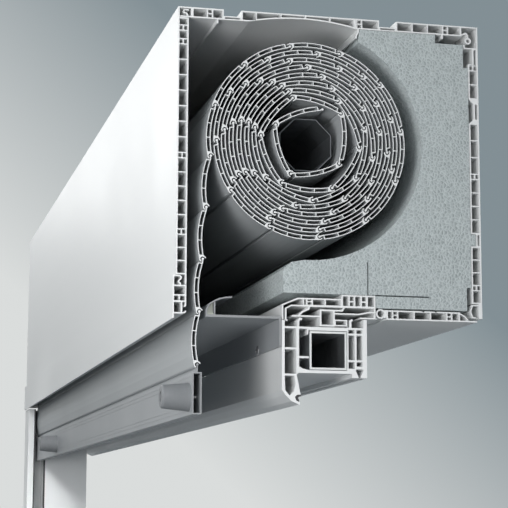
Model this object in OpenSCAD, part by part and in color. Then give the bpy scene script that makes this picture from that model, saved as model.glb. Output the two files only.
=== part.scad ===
// Roller shutter on a window head, shown with its near end open.
// Section drawing: x runs from the street face to the room, z up from the box top.
// The section is carried along y, away from the open end.

/* [Box] */
// Depth of the box, street face to room face
box_w = 225; // [215:1:245]
// Height of the box, top face to the inspection cover's underside
box_h = 220; // [214:1:236]
// Length of the box with its end cap
box_len = 1080; // [700:10:1600]
// Thickness of the hollow panels
panel_t = 7.6; // [7:0.1:9]
// Thickness of the panels' outer skins
skin_t = 1; // [0.9:0.05:1.2]
// Thickness of the webs between chambers
web_t = 0.8; // [0.7:0.05:1.1]
// Usual distance between webs
web_pitch = 11; // [9:0.5:14]
// Width of a reinforced twin chamber between web centres
twin_w = 3.8; // [3.2:0.1:4.6]
// Depth of the anchor slots in the top panel
slot_d = 4.8; // [4:0.1:5.6]
// Width of the anchor slots in the top panel
slot_w = 13; // [10:0.5:15]
// Assembly gap between pieces that clip together
fit = 0.3; // [0.2:0.05:0.4]

/* [Fascia] */
// Height of the lower fascia profile above the inspection cover's underside
lower_h = 27.4; // [24:0.2:40]
// How far the lower fascia profile stands proud of the upper one
fascia_step = 2; // [1:0.1:3]
// How far the drip lip reaches below the inspection cover
drip_h = 3.2; // [2:0.1:6]

/* [Roller] */
// Distance of the roller axis from the street face
roll_x = 95.5; // [92:0.5:100]
// Depth of the roller axis below the box top
roll_z = 94; // [90:0.5:98]
// Width across flats of the eight-sided roller tube
tube_af = 38.5; // [37.5:0.5:40]
// Wall of the roller tube
tube_t = 0.7; // [0.6:0.1:1.2]
// Distance of the tube's near end behind the curtain's edge
tube_in = 9; // [0:1:20]
// Radius of the last pivot of the wound curtain
roll_r = 72.5; // [66:0.5:74]
// Angle of that last pivot below the horizontal
roll_exit = 10.6; // [6:0.2:12]
// Clearance between the hooks of neighbouring wound layers
layer_gap = 0.5; // [0.4:0.05:1.2]

/* [Slats] */
// Distance between slat pivots
slat_pitch = 37; // [36:0.5:39]
// Thickness of a slat's hollow body
slat_t = 3.4; // [3:0.1:3.8]
// Skin of a slat
slat_skin = 0.6; // [0.5:0.05:0.8]
// Rise of a slat's arch
slat_rise = 2.6; // [2:0.1:3]
// Outer radius of the hook at a slat's lower edge
hook_r = 2.4; // [2.2:0.05:2.7]
// Wall of that hook
hook_t = 0.7; // [0.6:0.05:1.1]
// Radius of the bead at a slat's upper edge
bead_r = 0.85; // [0.7:0.05:1]

/* [Bottom bar] */
// Thickness of the bottom bar
bar_t = 6.6; // [6:0.1:7]
// Height of the bottom bar
bar_h = 29; // [24:0.5:34]
// Wall of the bottom bar
bar_wall = 0.9; // [0.8:0.1:1.4]
// Length of a stop buffer
buffer_len = 20; // [15:0.5:24]
// Radius of a stop buffer at the bar
buffer_r = 10; // [8:0.1:11]
// Radius of a stop buffer at its tip
buffer_tip_r = 8.2; // [6:0.1:9]
// Distance of the near buffer from the open end
buffer_near = 13; // [12:1:60]
// Distance of the far buffer from the open end
buffer_far = 821; // [300:1:900]

/* [Window head] */
// Distance of the window frame from the street face
frame_x = 76; // [74:0.5:78]
// Depth of the window frame
frame_d = 62; // [58:0.5:66]
// Outer wall of the window frame
frame_wall = 2; // [1.6:0.1:2.4]
// Inner webs of the window frame
frame_web = 1.4; // [1:0.1:1.8]
// Outside width of the steel stiffener
steel_w = 27; // [24:0.5:29]
// Wall of the steel stiffener
steel_t = 1.4; // [1.2:0.1:2.4]

/* [Guide rail] */
// Width of the guide rail along the box
rail_w = 44; // [40:1:56]
// Length of the guide rail below the box
rail_len = 206; // [200:2:600]
// Wall of the guide rail
rail_wall = 2; // [1.6:0.1:2.6]
// Width of the guide rail's slot
rail_slot = 12; // [12:0.1:13]
// Depth of the guide rail's slot
rail_slot_d = 34; // [28:1:36]
// Radius of the guide rail's fixing holes
rail_hole_r = 2.6; // [2:0.1:3.2]
// Distance between the guide rail's fixing holes
rail_hole_pitch = 80; // [60:1:90]

/* [End cap and drive] */
// Thickness of the far end cap
cap_t = 5; // [4:0.5:7]
// Distance between the end cap's fixing holes, both ways
cap_hole_pitch = 130; // [120:1:140]
// Radius of the end cap's fixing holes
cap_hole_r = 2.75; // [2:0.05:3.5]
// Radius of the tubular drive's body
drive_r = 17.5; // [16:0.1:17.6]
// Length of the tubular drive's body
drive_len = 440; // [300:5:480]
// Running clearance of the drive's turning pieces
run_gap = 0.3; // [0.2:0.05:0.4]

/* [Hidden] */
$fn = 48;

PVC = [0.94, 0.95, 0.94];
CURTAIN = [0.86, 0.88, 0.88];
FOAM = [0.70, 0.73, 0.73];
STEEL = [0.62, 0.64, 0.66];
RUBBER = [0.16, 0.17, 0.18];
MOULDED = [0.80, 0.82, 0.81];
GREY = [0.58, 0.60, 0.61];

// Places along the box
cap_y = box_len - cap_t;
rail_y = box_len - rail_w;
foam_len = cap_y - 15;
curtain_len = cap_y - 17;
tube_len = cap_y - 19;
tube_split = (tube_in + tube_len) / 2;
soffit_len = rail_y - 1;

// Places in the section
bottom = -box_h;
fascia_split = box_h - lower_h;
corner = panel_t + fit;
twin_h = (panel_t - 2 * skin_t - web_t) / 2;
roll_c = [roll_x, -roll_z];
eps = 0.02;

// Vectors and lists
function unit(v) = v / norm(v);
function turned_left(v) = [-v[1], v[0]];
function reversed(list) = [for (i = [len(list) - 1 : -1 : 0]) list[i]];
function arc(c, r, a0, a1, n) =
    [for (i = [0 : n]) let (a = a0 + (a1 - a0) * i / n) c + r * [cos(a), sin(a)]];

// One side of a strip of half width h along the points p, with mitred corners
function strip_side(p, h) = [for (i = [0 : len(p) - 1])
    let (a = i > 0 ? unit(p[i] - p[i - 1]) : unit(p[1] - p[0]),
        b = i < len(p) - 1 ? unit(p[i + 1] - p[i]) : a,
        m = unit(a + b))
    p[i] + turned_left(m) * h / max(0.5, m * a)];

// Thin wall of thickness t along the points p
module strip(p, t) {
    polygon(concat(strip_side(p, -t / 2), reversed(strip_side(p, t / 2))));
}

// Rectangle between two corners
module rect(a, b) {
    translate([min(a[0], b[0]), min(a[1], b[1])]) square([abs(b[0] - a[0]), abs(b[1] - a[1])]);
}

// Carries a section along y from y0 to y1 in the part's own frame
module along(y0, y1) {
    in_frame() translate([0, y1, 0]) rotate([90, 0, 0]) linear_extrude(y1 - y0) children();
}

// Moves from the section drawing's corner to the middle of the box top
module in_frame() {
    translate([-box_w / 2, -box_len / 2, 0]) children();
}

// Chambers of a hollow panel from a to b, depth 0 to t, with twin chambers at mids
module chambers(a, b, mids = [], t = panel_t) {
    edges = concat([a + skin_t - web_t / 2],
        [for (m = mids) each [m - twin_w / 2, m + twin_w / 2]],
        [b - skin_t + web_t / 2]);
    for (i = [0 : 2 : len(edges) - 2]) {
        span = edges[i + 1] - edges[i];
        count = max(1, round(span / web_pitch));
        for (j = [0 : count - 1])
            translate([edges[i] + j * span / count + web_t / 2, skin_t])
                square([span / count - web_t, t - 2 * skin_t]);
    }
    half = (t - 2 * skin_t - web_t) / 2;
    for (m = mids, k = [0, 1])
        translate([m - twin_w / 2 + web_t / 2, skin_t + k * (half + web_t)])
            square([twin_w - web_t, half]);
}

// Street side of the box
fascia_twins = [15.5, 25.5, (fascia_split + 23.4) / 2, fascia_split - 30.1];
fascia_tail = 7;

module upper_fascia_section() {
    difference() {
        union() {
            rect([0, -fascia_split], [panel_t, -corner]);
            rect([0, -corner - skin_t], [skin_t, 0]);
            rect([0, -skin_t], [3, 0]);
            rect([panel_t - skin_t, -fascia_split - fascia_tail], [panel_t, -fascia_split + skin_t]);
        }
        rotate(-90) chambers(corner, fascia_split, fascia_twins);
    }
}

module upper_fascia_panel() {
    color(PVC) along(0, cap_y) upper_fascia_section();
}

module lower_fascia_section() {
    top = -fascia_split - fascia_tail - fit;
    waist = bottom + 8.2;
    narrow = panel_t - 2.7;
    split = (panel_t - fascia_step) / 2;
    difference() {
        union() {
            rect([-fascia_step, waist], [panel_t, top]);
            rect([-fascia_step, bottom], [narrow, waist + eps]);
            rect([-fascia_step, bottom - drip_h], [-fascia_step + skin_t, -fascia_split - fit]);
            strip([[-fascia_step + 0.3, -fascia_split - 0.9], [2.6, -fascia_split - 0.8],
                [4, -fascia_split - 1.8], [3.8, -fascia_split - 3], [2.2, -fascia_split - 4.4],
                [2.2, -fascia_split - 5.6], [3.4, -fascia_split - 6.2], [3.4, top - skin_t / 2]], 0.9);
            strip([[panel_t - 0.5, waist + 1], [panel_t - 0.5, waist - 2.6],
                [panel_t - 1.5, waist - 3.2]], 1);
            strip([[narrow - 1, bottom + 0.5], [panel_t - 1, bottom + 0.8],
                [panel_t - 0.2, bottom + 2]], 0.9);
        }
        rect([-fascia_step + skin_t, waist + 5.2], [panel_t - skin_t, top - skin_t]);
        for (side = [[-fascia_step + skin_t, split - web_t / 2], [split + web_t / 2, panel_t - skin_t]])
            rect([side[0], waist + 1], [side[1], waist + 4.3]);
        rect([-fascia_step + skin_t, bottom + skin_t], [narrow - skin_t, waist - 0.2]);
    }
}

module lower_fascia_profile() {
    color(PVC) along(0, cap_y) lower_fascia_section();
}

// Top of the box
slot_1 = 33;
slot_2 = box_w - 76;
arch_0 = slot_1 + slot_w + 6;
arch_1 = slot_2 - 18;
arch_web = arch_0 + 5;
arch_rise = 4.4;
hook_x = 9.2;
top_end = box_w - 12.5;
floor_t = 0.8;

function arch_z(x) = let (m = (arch_0 + arch_1) / 2, h = (arch_1 - arch_0) / 2)
    -panel_t + arch_rise * max(0, 1 - pow((x - m) / h, 2));

module arch_chamber(x0, x1) {
    n = 4;
    under = [for (i = [0 : n]) let (x = x0 + (x1 - x0) * i / n) [x, arch_z(x) + skin_t]];
    polygon(concat(under, [[x1, -skin_t], [x0, -skin_t]]));
}

module top_section() {
    arch_webs = [for (i = [0 : 4]) arch_web + i * (arch_1 - 0.8 - arch_web) / 4];
    anchor_slots = [slot_1, slot_2];
    under = [for (i = [0 : 12]) let (x = arch_0 + (arch_1 - arch_0) * i / 12) [x, arch_z(x)]];
    difference() {
        union() {
            polygon(concat([[hook_x, 0], [hook_x, -panel_t]], under, [[top_end, -panel_t], [top_end, 0]]));
            rect([3 + fit, -skin_t], [hook_x + 1, 0]);
            rect([skin_t + fit, -panel_t], [hook_x + 1, -panel_t + skin_t]);
            strip([[7.6, -2.4], [6.2, -2], [4.4, -2.3], [3.6, -3.3], [4.4, -4.2], [6, -4.8], [6.7, -5.7],
                [6.6, -panel_t + skin_t / 2]], 0.8);
            rect([top_end - 1, -skin_t], [box_w - skin_t - fit, 0]);
            strip([[top_end - 1.2, -panel_t + 0.6], [box_w - 9, -5], [box_w - 7.7, -6.6],
                [box_w - 7.4, -9]], 1);
            translate([box_w - 7.4, -10.9]) circle(r = 2.4);
            for (x = [28, box_w - 28]) rect([x, -panel_t - 3], [x + 1.1, -panel_t + eps]);
            strip([[arch_1 + 2.2, -panel_t + 0.5], [arch_1 + 2, -panel_t - 2.6],
                [arch_1 + 0.8, -panel_t - 4.6], [arch_1 + 0.3, -panel_t - 7]], 1.1);
        }
        for (x = anchor_slots) {
            rect([x, -slot_d], [x + slot_w, 1]);
            rect([x + skin_t, -panel_t + floor_t], [x + slot_w - skin_t, -slot_d - floor_t]);
        }
        mirror([0, 1]) chambers(hook_x + web_t, slot_1, [23]);
        mirror([0, 1]) chambers(slot_1 + slot_w, arch_web + web_t);
        for (i = [0 : len(arch_webs) - 2])
            arch_chamber(arch_webs[i] + web_t / 2, arch_webs[i + 1] - web_t / 2);
        mirror([0, 1]) chambers(arch_1 - 0.5, slot_2, [arch_1 + 3]);
        mirror([0, 1]) chambers(slot_2 + slot_w, top_end, [box_w - 25]);
        translate([box_w - 7.4, -10.9]) circle(r = 1.3);
    }
}

module top_panel() {
    color(PVC) along(0, cap_y) top_section();
}

// Room side of the box
recess_d = 3.6;
key_z = box_h - 60;
key_h = 9;
dovetail = [[54.5, 0], [58.5, 1], [70, 1], [73.5, 0]];
rear_top = 28.4;
rear_end = box_h - 13.4;

module rear_section() {
    inner = box_w - panel_t;
    thin = 4.2;
    difference() {
        union() {
            rect([inner, -rear_end], [box_w, -rear_top]);
            rect([box_w - thin, -rear_top - eps], [box_w, -16]);
            rect([box_w - skin_t, -17], [box_w, 0]);
            strip([[box_w - thin + 0.5, -16.5], [box_w - 10.2, -16.5], [box_w - 10.6, -14]], 0.9);
            rect([box_w - 2.6, bottom + 2.6], [box_w, -rear_end + eps]);
            strip([[box_w - 2, -rear_end - 1], [box_w - 7.4, -rear_end - 1.2], [box_w - 8.8, -rear_end - 5.4],
                [box_w - 7.4, bottom + 3.6], [box_w - 4.6, bottom + 3.2]], 0.9);
        }
        polygon([for (p = dovetail) [inner + recess_d * p[1] - (p[1] > 0 ? 0 : eps), -p[0]]]);
        rect([inner - 1, -key_z - key_h / 2], [inner + recess_d + 0.4, -key_z + key_h / 2]);
        translate([box_w, 0]) mirror([1, 0]) rotate(-90) {
            chambers(rear_top, dovetail[0][0] + 0.6, [rear_top + 3]);
            chambers(dovetail[3][0] - 0.6, key_z - key_h / 2, [(dovetail[3][0] + key_z - 7.5) / 2]);
            chambers(key_z + key_h / 2, rear_end, [rear_end - 11.6]);
        }
        rect([box_w - thin + skin_t, -rear_top - 0.4], [box_w - skin_t - 0.4, -17.4]);
        rect([box_w - 2.8, -dovetail[2][0]], [box_w - skin_t, -dovetail[1][0]]);
        rect([box_w - 2.6, -key_z - key_h / 2 + 0.6], [box_w - skin_t, -key_z + key_h / 2 - 0.6]);
    }
}

module rear_panel() {
    color(PVC) along(0, cap_y) rear_section();
}

// Rigid foam that lines the room side and keeps a round space for the curtain
foam_r = 85.2;
foam_x = frame_x + 1;
adapter_end = frame_x + frame_d + 6.6;
adapter_top = bottom + 16.8;
cover_t = 6.9;

module insulation_section() {
    room = box_w - panel_t - fit;
    notch = room - 3.6;
    base = adapter_top + fit;
    ledge = bottom + cover_t + 1.2;
    kerf = 1;
    kerf_x = frame_x + frame_d + 0.6;
    kerf_h = -roll_z - sqrt(foam_r * foam_r - pow(kerf_x - roll_x, 2)) - base;
    under = -roll_z - foam_r;
    toe = under - base;
    lip = arch_1 + 3.2;
    lip_z = -panel_t - 8;
    start = atan2(lip_z + roll_z, lip - roll_x);
    difference() {
        union() {
            polygon(concat(arc(roll_c, foam_r, start, -92, 40),
                [[foam_x + 6, under - 0.07 * toe], [foam_x, under - 0.3 * toe], [foam_x, base],
                [adapter_end + fit, base], [adapter_end + fit, ledge], [notch, ledge], [notch, bottom + 25],
                [room, bottom + 25], [room, -31.5], [notch, -31.5], [notch, -14.2 - panel_t + 7.6],
                [box_w - 33, -14.2 - panel_t + 7.6], [box_w - 33, -panel_t - fit], [lip, -panel_t - fit]]));
            rect([room - 1, -key_z - key_h / 2 + fit],
                [box_w - panel_t + recess_d, -key_z + key_h / 2 - fit]);
        }
        rect([kerf_x, base - 1], [kerf_x + kerf, base + 0.68 * kerf_h]);
        rect([adapter_end, base - kerf / 2], [adapter_end + 41, base + kerf / 2]);
    }
}

module insulation_block() {
    color(FOAM) along(0, foam_len) insulation_section();
}

// Cover under the box that swings down for service
cover_axis = [adapter_end + 3.8, bottom + 4.1];
cover_bead = 3.4;
cover_x = cover_axis[0] + 2.4;
cover_neck = cover_axis[0] + 4.4;

module cover_section() {
    end = box_w - 17;
    dimple = 1.1;
    difference() {
        union() {
            rect([cover_x, bottom + 1.5], [cover_neck + eps, bottom + cover_t]);
            rect([cover_neck, bottom], [end, bottom + cover_t]);
            translate(cover_axis) circle(r = cover_bead);
            rect([end - 1, bottom], [box_w - 4, bottom + skin_t]);
            strip([[end - 1, bottom + cover_t - 0.5], [box_w - 13, bottom + 3.8],
                [box_w - 10.6, bottom + 0.6]], 0.9);
        }
        translate(cover_axis) circle(r = cover_bead - skin_t);
        translate([0, bottom]) chambers(cover_neck, end, [cover_neck + 6.5, end - 8], cover_t);
        for (k = [0.5, 0.67])
            translate([cover_neck + k * (end - cover_neck), bottom + cover_t + dimple * 0.3])
                circle(r = dimple);
    }
}

module inspection_cover() {
    color(PVC) along(0, cap_y - 1) cover_section();
}

// Profile that joins the box to the window frame
module adapter_section() {
    low = 13.8;
    skin_z = 8.6;
    nose = 15.2;
    right = adapter_end - frame_x;
    tall = right - 25.1;
    high = adapter_top - bottom;
    translate([frame_x, bottom]) {
        difference() {
            union() {
                polygon([[nose, skin_z - 1], [right - skin_t, skin_z - 1], [right - skin_t, 0],
                    [right, 0], [right, high], [tall, high], [tall, low], [nose, low]]);
                strip([[nose + eps, low - 0.5], [11.6, low - 0.5], [0.5, 8.5], [0.5, -1.8]], 1);
                strip([[nose + eps, skin_z - 0.4], [6.8, skin_z - 0.4], [2.8, 6], [2.8, -2], [4, -2.6]], 1);
                rect([right - 11.6, 0], [right, 1]);
                strip([[right - 0.5, 4.8], [right - 4.6, 4.8], [right - 12.6, 3.2], [38, 3.2]], 1);
                strip([[20, skin_z - 0.6], [19.4, 6], [15, 4], [12.2, 1.4]], 1.2);
                strip([[7.4, 0.9], [28, 0.9]], 1.1);
                strip([[tall + 2.1, skin_z - 0.6], [tall + 0.5, 5.4], [38, 5.4]], 1.1);
                rect([27.5, -6], [38.5, 6]);
                rect([38, -5.6], [47.6, -1]);
                rect([right - 1, 0], [right + 0.9, skin_t - 0.5]);
            }
            for (x = [[22.6, 31], [32, tall - 0.6]]) rect([x[0], skin_z + 0.4], [x[1], low - skin_t]);
            for (z = [[skin_z + 0.4, 10.8], [11.6, low - 1]]) rect([18.6, z[0]], [21.6, z[1]]);
            rect([nose + 0.9, skin_z + 0.4], [17.6, low - 1]);
            for (x = [[tall + 1.1, tall + 5.1], [right - 15, right - 11.2], [right - 5.6, right - skin_t]])
                rect([x[0], skin_z + 0.4], [x[1], high - skin_t]);
            for (x = [right - 19, right - 10], z = [[skin_z + 0.4, 11.6], [12.6, high - skin_t]])
                rect([x, z[0]], [x + 3, z[1]]);
            rect([28.7, -4.8], [37.3, 4.8]);
            rect([39.2, -4.7], [46.7, -1.9]);
        }
    }
}

module frame_adapter() {
    color(PVC) along(0, cap_y) adapter_section();
}

// Head of the window frame, with its steel stiffener and the seal on its nose
steel_x = 20;
steel_z = -9.6;
steel_gap = 0.5;

module frame_section() {
    room = frame_d - 3;
    base = steel_z - steel_w - steel_gap - frame_wall;
    pocket = [steel_x - steel_gap, steel_x + steel_w + steel_gap];
    cheek = pocket[1] + 0.9;
    mid = (cheek + room) / 2;
    translate([frame_x, bottom]) difference() {
        union() {
            polygon([[0, -2.2], [0, base - 12.3], [2.5, base - 15.8], [7, base - 20], [12.5, base - 22.3],
                [13.2, base - 21], [10.2, base - 19.4], [9.4, base - 17], [11, base - 15.4],
                [13.6, base - 15.2], [13, base - 13], [11.8, base - 6.8], [10.6, base - 1.3], [12, base],
                [room - 8, base], [room - 8, base - 3], [frame_d, base - 3], [frame_d, -0.6],
                [room + 0.4, -0.6], [room + 0.4, -6.6], [frame_wall, -6.6], [frame_wall, -2.2]]);
            strip([[11.8, -7], [11.8, -2.4], [13.2, -1], [14.4, -1.6]], 1.5);
            strip([[frame_d - 12, -7], [frame_d - 12, -1.6], [frame_d - 10.4, -0.9]], 1.5);
        }
        for (z = [[-8, -21.4], [-22.8, base - 0.8]]) rect([frame_wall, z[0]], [10.4, z[1]]);
        polygon([[frame_wall, base - 2.2], [9, base - 2.2], [9.8, base - 8], [8.6, base - 13],
            [5.6, base - 16], [frame_wall + 0.4, base - 12.4]]);
        difference() {
            rect([12.4, -8], [pocket[0] + eps, -27.4]);
            strip([[pocket[0] - 0.6, -7.8], [pocket[0] - 1, -12.2]], 0.9);
        }
        polygon([[12.4, -28.8], [12.4, base + frame_wall + 2.4], [15, base + frame_wall + 1],
            [pocket[0] + eps, base + frame_wall], [pocket[0] + eps, -28.8]]);
        rect([pocket[0], steel_z + steel_gap], [pocket[1], base + frame_wall]);
        for (x = [[cheek, mid - frame_web / 2], [mid + frame_web / 2, room - 0.3]],
            z = [[-8, -10.6], [-12, -29.4], [-30.8, x[0] > cheek ? base + 5.2 : base + 3.6]])
            rect([x[0], z[0]], [x[1], z[1]]);
        polygon([[room - 3.4, base - 4], [room - 1.6, base - 4], [room - 1.6, base - 1.8],
            [room + 0.2, base + 1.8], [room + 0.2, base + 3.2], [room - 5.2, base + 3.2],
            [room - 5.2, base + 1.8], [room - 3.4, base - 1.8]]);
    }
}

module frame_head() {
    color(PVC) difference() {
        along(0, box_len) frame_section();
        for (y = soffit_screw_y) screw_hole(frame_x - 1, y, soffit_screw_z);
        for (z = rail_screw_z) screw_hole(frame_x - 1, rail_mid_y, z);
    }
}

module frame_head_steel() {
    color(STEEL) along(0, box_len) translate([frame_x, bottom]) difference() {
        rect([steel_x, steel_z], [steel_x + steel_w, steel_z - steel_w]);
        rect([steel_x + steel_t, steel_z - steel_t],
            [steel_x + steel_w - steel_t, steel_z - steel_w + steel_t]);
    }
}

module rebate_gasket() {
    base = steel_z - steel_w - steel_gap - frame_wall;
    color(RUBBER) along(0, box_len) translate([frame_x, bottom + base])
        polygon([[9.6, -17], [11.1, -15.6], [13.4, -15.4], [13.9, -16.4], [12.3, -16.9], [11.6, -17.6],
            [12.4, -19.2], [12.2, -20.2], [10.3, -19.2]]);
}

// Small screw driven in x, its head on the street side of the plane at x
screw_r = 1.9;
screw_head_r = 3.6;
screw_head_h = 1.6;
screw_len = 9;

module screw(x, y, z) {
    in_frame() translate([x, y, z]) rotate([0, 90, 0]) {
        translate([0, 0, -screw_head_h])
            cylinder(r1 = screw_head_r - 0.8, r2 = screw_head_r, h = screw_head_h);
        translate([0, 0, -eps]) cylinder(r = screw_r, h = screw_len);
    }
}

module screw_hole(x, y, z) {
    in_frame() translate([x, y, z]) rotate([0, 90, 0]) translate([0, 0, -3])
        cylinder(r = screw_r, h = screw_len + 4);
}

// Profile that closes the box's underside between the curtain and the window frame
soffit_t = 1.6;
soffit_leg = 21;
inlet_x = 21.6;
soffit_screw_z = bottom - soffit_leg + 3;
soffit_screw_n = 5;
soffit_screw_y = [for (i = [0 : soffit_screw_n - 1]) 66 + i * (soffit_len - 132) / (soffit_screw_n - 1)];

module soffit_section() {
    wall = inlet_x + 5.6;
    rect([inlet_x, bottom - soffit_t], [frame_x - fit, bottom]);
    rect([frame_x - fit - soffit_t, bottom - soffit_leg], [frame_x - fit, bottom - soffit_t + eps]);
    rect([wall, bottom - eps], [wall + 1, bottom + 9]);
    strip([[inlet_x + 0.5, bottom - 0.6], [inlet_x + 0.6, bottom + 3.6], [inlet_x + 2.4, bottom + 7.4],
        [wall + 0.4, bottom + 9.6], [wall + 4.4, bottom + 11.4], [wall + 8.6, bottom + 12.3],
        [wall + 13, bottom + 12.7]], 1);
}

module soffit_profile() {
    color(GREY) difference() {
        along(0, soffit_len) soffit_section();
        for (y = soffit_screw_y) screw_hole(frame_x - 2, y, soffit_screw_z);
    }
}

module soffit_seal() {
    wall = inlet_x + 5.6;
    color(MOULDED) along(0, soffit_len)
        polygon([[inlet_x + 1.2, bottom + 0.1], [wall - 0.2, bottom + 0.1], [wall - 0.2, bottom + 8.4],
            [inlet_x + 3.1, bottom + 6.6], [inlet_x + 1.3, bottom + 3.2]]);
}

module soffit_screws() {
    color(STEEL) for (y = soffit_screw_y) screw(frame_x - fit - soffit_t, y, soffit_screw_z);
}

// Guide rail at the far end, drawn from its near face and carried downwards
rail_top = bottom - drip_h - 0.6;
rail_mid_y = rail_y + rail_w / 2;
rail_screw_z = [bottom - 18, bottom - 36];
seal_t = 1.6;
seal_d = 5;
seal_out = 0.15;

module rail_section() {
    a = rail_slot_x - rail_slot / 2;
    b = rail_slot_x + rail_slot / 2;
    w = rail_wall;
    room = frame_x - fit;
    rib = (b + room) / 2;
    difference() {
        square([room, rail_w]);
        translate([a, -1]) square([rail_slot, rail_slot_d + 1]);
        translate([w, w]) square([a - 2 * w, rail_w - 2 * w]);
        translate([a, rail_slot_d + w]) square([rail_slot, rail_w - rail_slot_d - 2 * w]);
        for (x = [[b + w, rib - w / 2], [rib + w / 2, room - w]])
            translate([x[0], w]) square([x[1] - x[0], rail_w - 2 * w]);
        for (x = [a - seal_t + seal_out, b - seal_out]) translate([x, -1]) square([seal_t, seal_d + 1]);
    }
}

module guide_rail() {
    color(PVC) difference() {
        in_frame() translate([0, rail_y, rail_top - rail_len]) linear_extrude(rail_len) rail_section();
        for (z = rail_screw_z) screw_hole(frame_x - 4, rail_mid_y, z);
        for (k = [0.5, -0.5])
            in_frame() translate([frame_x - 6, rail_mid_y, rail_fix_z + k * rail_hole_pitch])
                rotate([0, 90, 0]) cylinder(r = rail_hole_r, h = 8);
    }
}

rail_fix_z = rail_top - rail_len / 2 - 24;

module rail_seal(x) {
    color(RUBBER) in_frame() translate([x, rail_y - 0.4, rail_top - rail_len])
        cube([seal_t, seal_d + 0.4, rail_len]);
}

module rail_street_seal() {
    rail_seal(rail_slot_x - rail_slot / 2 - seal_t + seal_out);
}

module rail_room_seal() {
    rail_seal(rail_slot_x + rail_slot / 2 - seal_out);
}

module rail_screws() {
    color(STEEL) for (z = rail_screw_z) screw(frame_x - fit - rail_wall, rail_mid_y, z);
}

// Far end cap: closes the box, carries the drive and takes the top of the guide rail
spigot_l = 34;
tongue_l = 8;
tongue_t = 2.5;
cap_hole_c = [box_w / 2, -box_h / 2];
cap_corners = [[-1, -1], [1, -1], [-1, 1], [1, 1]];

module far_end_cap() {
    spigot = (rail_slot_x + rail_slot / 2 + frame_x - fit) / 2;
    color(PVC) difference() {
        union() {
            along(cap_y, box_len) translate([0.4, bottom + 0.2]) square([box_w - 0.8, box_h - 0.4]);
            in_frame() translate([spigot + rail_wall / 2 + 0.4, cap_y - 16, rail_top - spigot_l])
                cube([frame_x - fit - rail_wall - spigot - rail_wall / 2 - 5.4, 12, spigot_l + drip_h + 10]);
            in_frame() translate([spigot + rail_wall / 2 + 0.4, cap_y - 16, bottom + 1])
                cube([frame_x - fit - rail_wall - spigot - rail_wall / 2 - 5.4, 16.2, 9]);
            along(cap_y - tongue_l, cap_y + 0.2) {
                rect([panel_t + fit, -fascia_split + 4], [panel_t + fit + tongue_t, -20]);
                rect([box_w - panel_t - fit - tongue_t, -key_z + 8], [box_w - panel_t - fit, -34]);
                rect([adapter_end - 22.6, adapter_top + fit],
                    [adapter_end - 4, adapter_top + fit + tongue_t]);
            }
        }
        for (k = cap_corners) in_frame()
            translate([cap_hole_c[0] + k[0] * cap_hole_pitch / 2, box_len + 1,
                cap_hole_c[1] + k[1] * cap_hole_pitch / 2])
                rotate([90, 0, 0]) cylinder(r = cap_hole_r, h = cap_t + 2);
        for (k = bracket_holes) cap_hole(k, 1.9);
    }
}

// Hole along y through the end cap at a place of the section
module cap_hole(p, r) {
    in_frame() translate([p[0], box_len + 1, p[1]]) rotate([90, 0, 0]) cylinder(r = r, h = cap_t + 20);
}

// Screw along y with its head outside the end cap
module cap_screw(p, y, h) {
    in_frame() translate([p[0], y, p[1]]) rotate([90, 0, 0]) {
        translate([0, 0, -screw_head_h])
            cylinder(r1 = screw_head_r - 0.8, r2 = screw_head_r, h = screw_head_h);
        translate([0, 0, -eps]) cylinder(r = screw_r, h = h);
    }
}

// Drive in the far end of the tube
bracket_w = 84;
bracket_t = 3;
bracket_hole_pitch = 64;
bracket_holes = [for (k = cap_corners) roll_c + k * bracket_hole_pitch / 2];
head_r = 22;
head_y = cap_y - bracket_t - 12;

module drive_bracket() {
    color(STEEL) difference() {
        in_frame() translate([roll_x - bracket_w / 2, cap_y - bracket_t, -roll_z - bracket_w / 2])
            cube([bracket_w, bracket_t, bracket_w]);
        for (k = bracket_holes) cap_hole(k, screw_r);
    }
}

module bracket_screws() {
    color(STEEL) for (k = bracket_holes) cap_screw(k, box_len, cap_t + bracket_t + 2);
}

// Round piece about the roller axis from y0 to y1
module about_axis(r, y0, y1) {
    in_frame() translate([roll_x, y1, -roll_z]) rotate([90, 0, 0]) cylinder(r = r, h = y1 - y0);
}

module octagon(af) {
    rotate(22.5) circle(r = af / 2 / cos(22.5), $fn = 8);
}

shaft_r = 5;
wheel_l = 22;
body_y = head_y - drive_len;
wheel_y = body_y - 6 - wheel_l;

module drive_head() {
    color(RUBBER) about_axis(head_r, head_y, cap_y - bracket_t);
}

module drive_body() {
    color(MOULDED) difference() {
        about_axis(drive_r, body_y, head_y);
        about_axis(shaft_r + run_gap, body_y - 1, body_y + 12);
    }
}

module drive_shaft() {
    color(STEEL) difference() {
        about_axis(shaft_r, wheel_y, body_y + 11);
        in_frame() translate([roll_x - shaft_r - 1, wheel_y - 1, -roll_z + shaft_r - 1])
            cube([2 * shaft_r + 2, wheel_l + 2, 3]);
    }
}

module drive_wheel() {
    color(MOULDED) difference() {
        along(wheel_y, wheel_y + wheel_l) translate(roll_c) difference() {
            octagon(tube_af - 2 * tube_t - 0.4);
            difference() {
                circle(r = shaft_r + 0.05);
                rect([-shaft_r - 1, shaft_r - 0.95], [shaft_r + 1, shaft_r + 1]);
            }
            for (a = [0 : 45 : 315]) rotate(a) translate([12, 0]) circle(r = 2.6);
        }
        wheel_screw_holes();
    }
}

module wheel_screw_holes() {
    for (k = [-1, 1]) in_frame() translate([roll_x, wheel_y + wheel_l / 2, -roll_z]) rotate([0, k * 90, 0])
        translate([0, 0, tube_af / 2 - 7]) cylinder(r = 1.5, h = 12);
}

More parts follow.
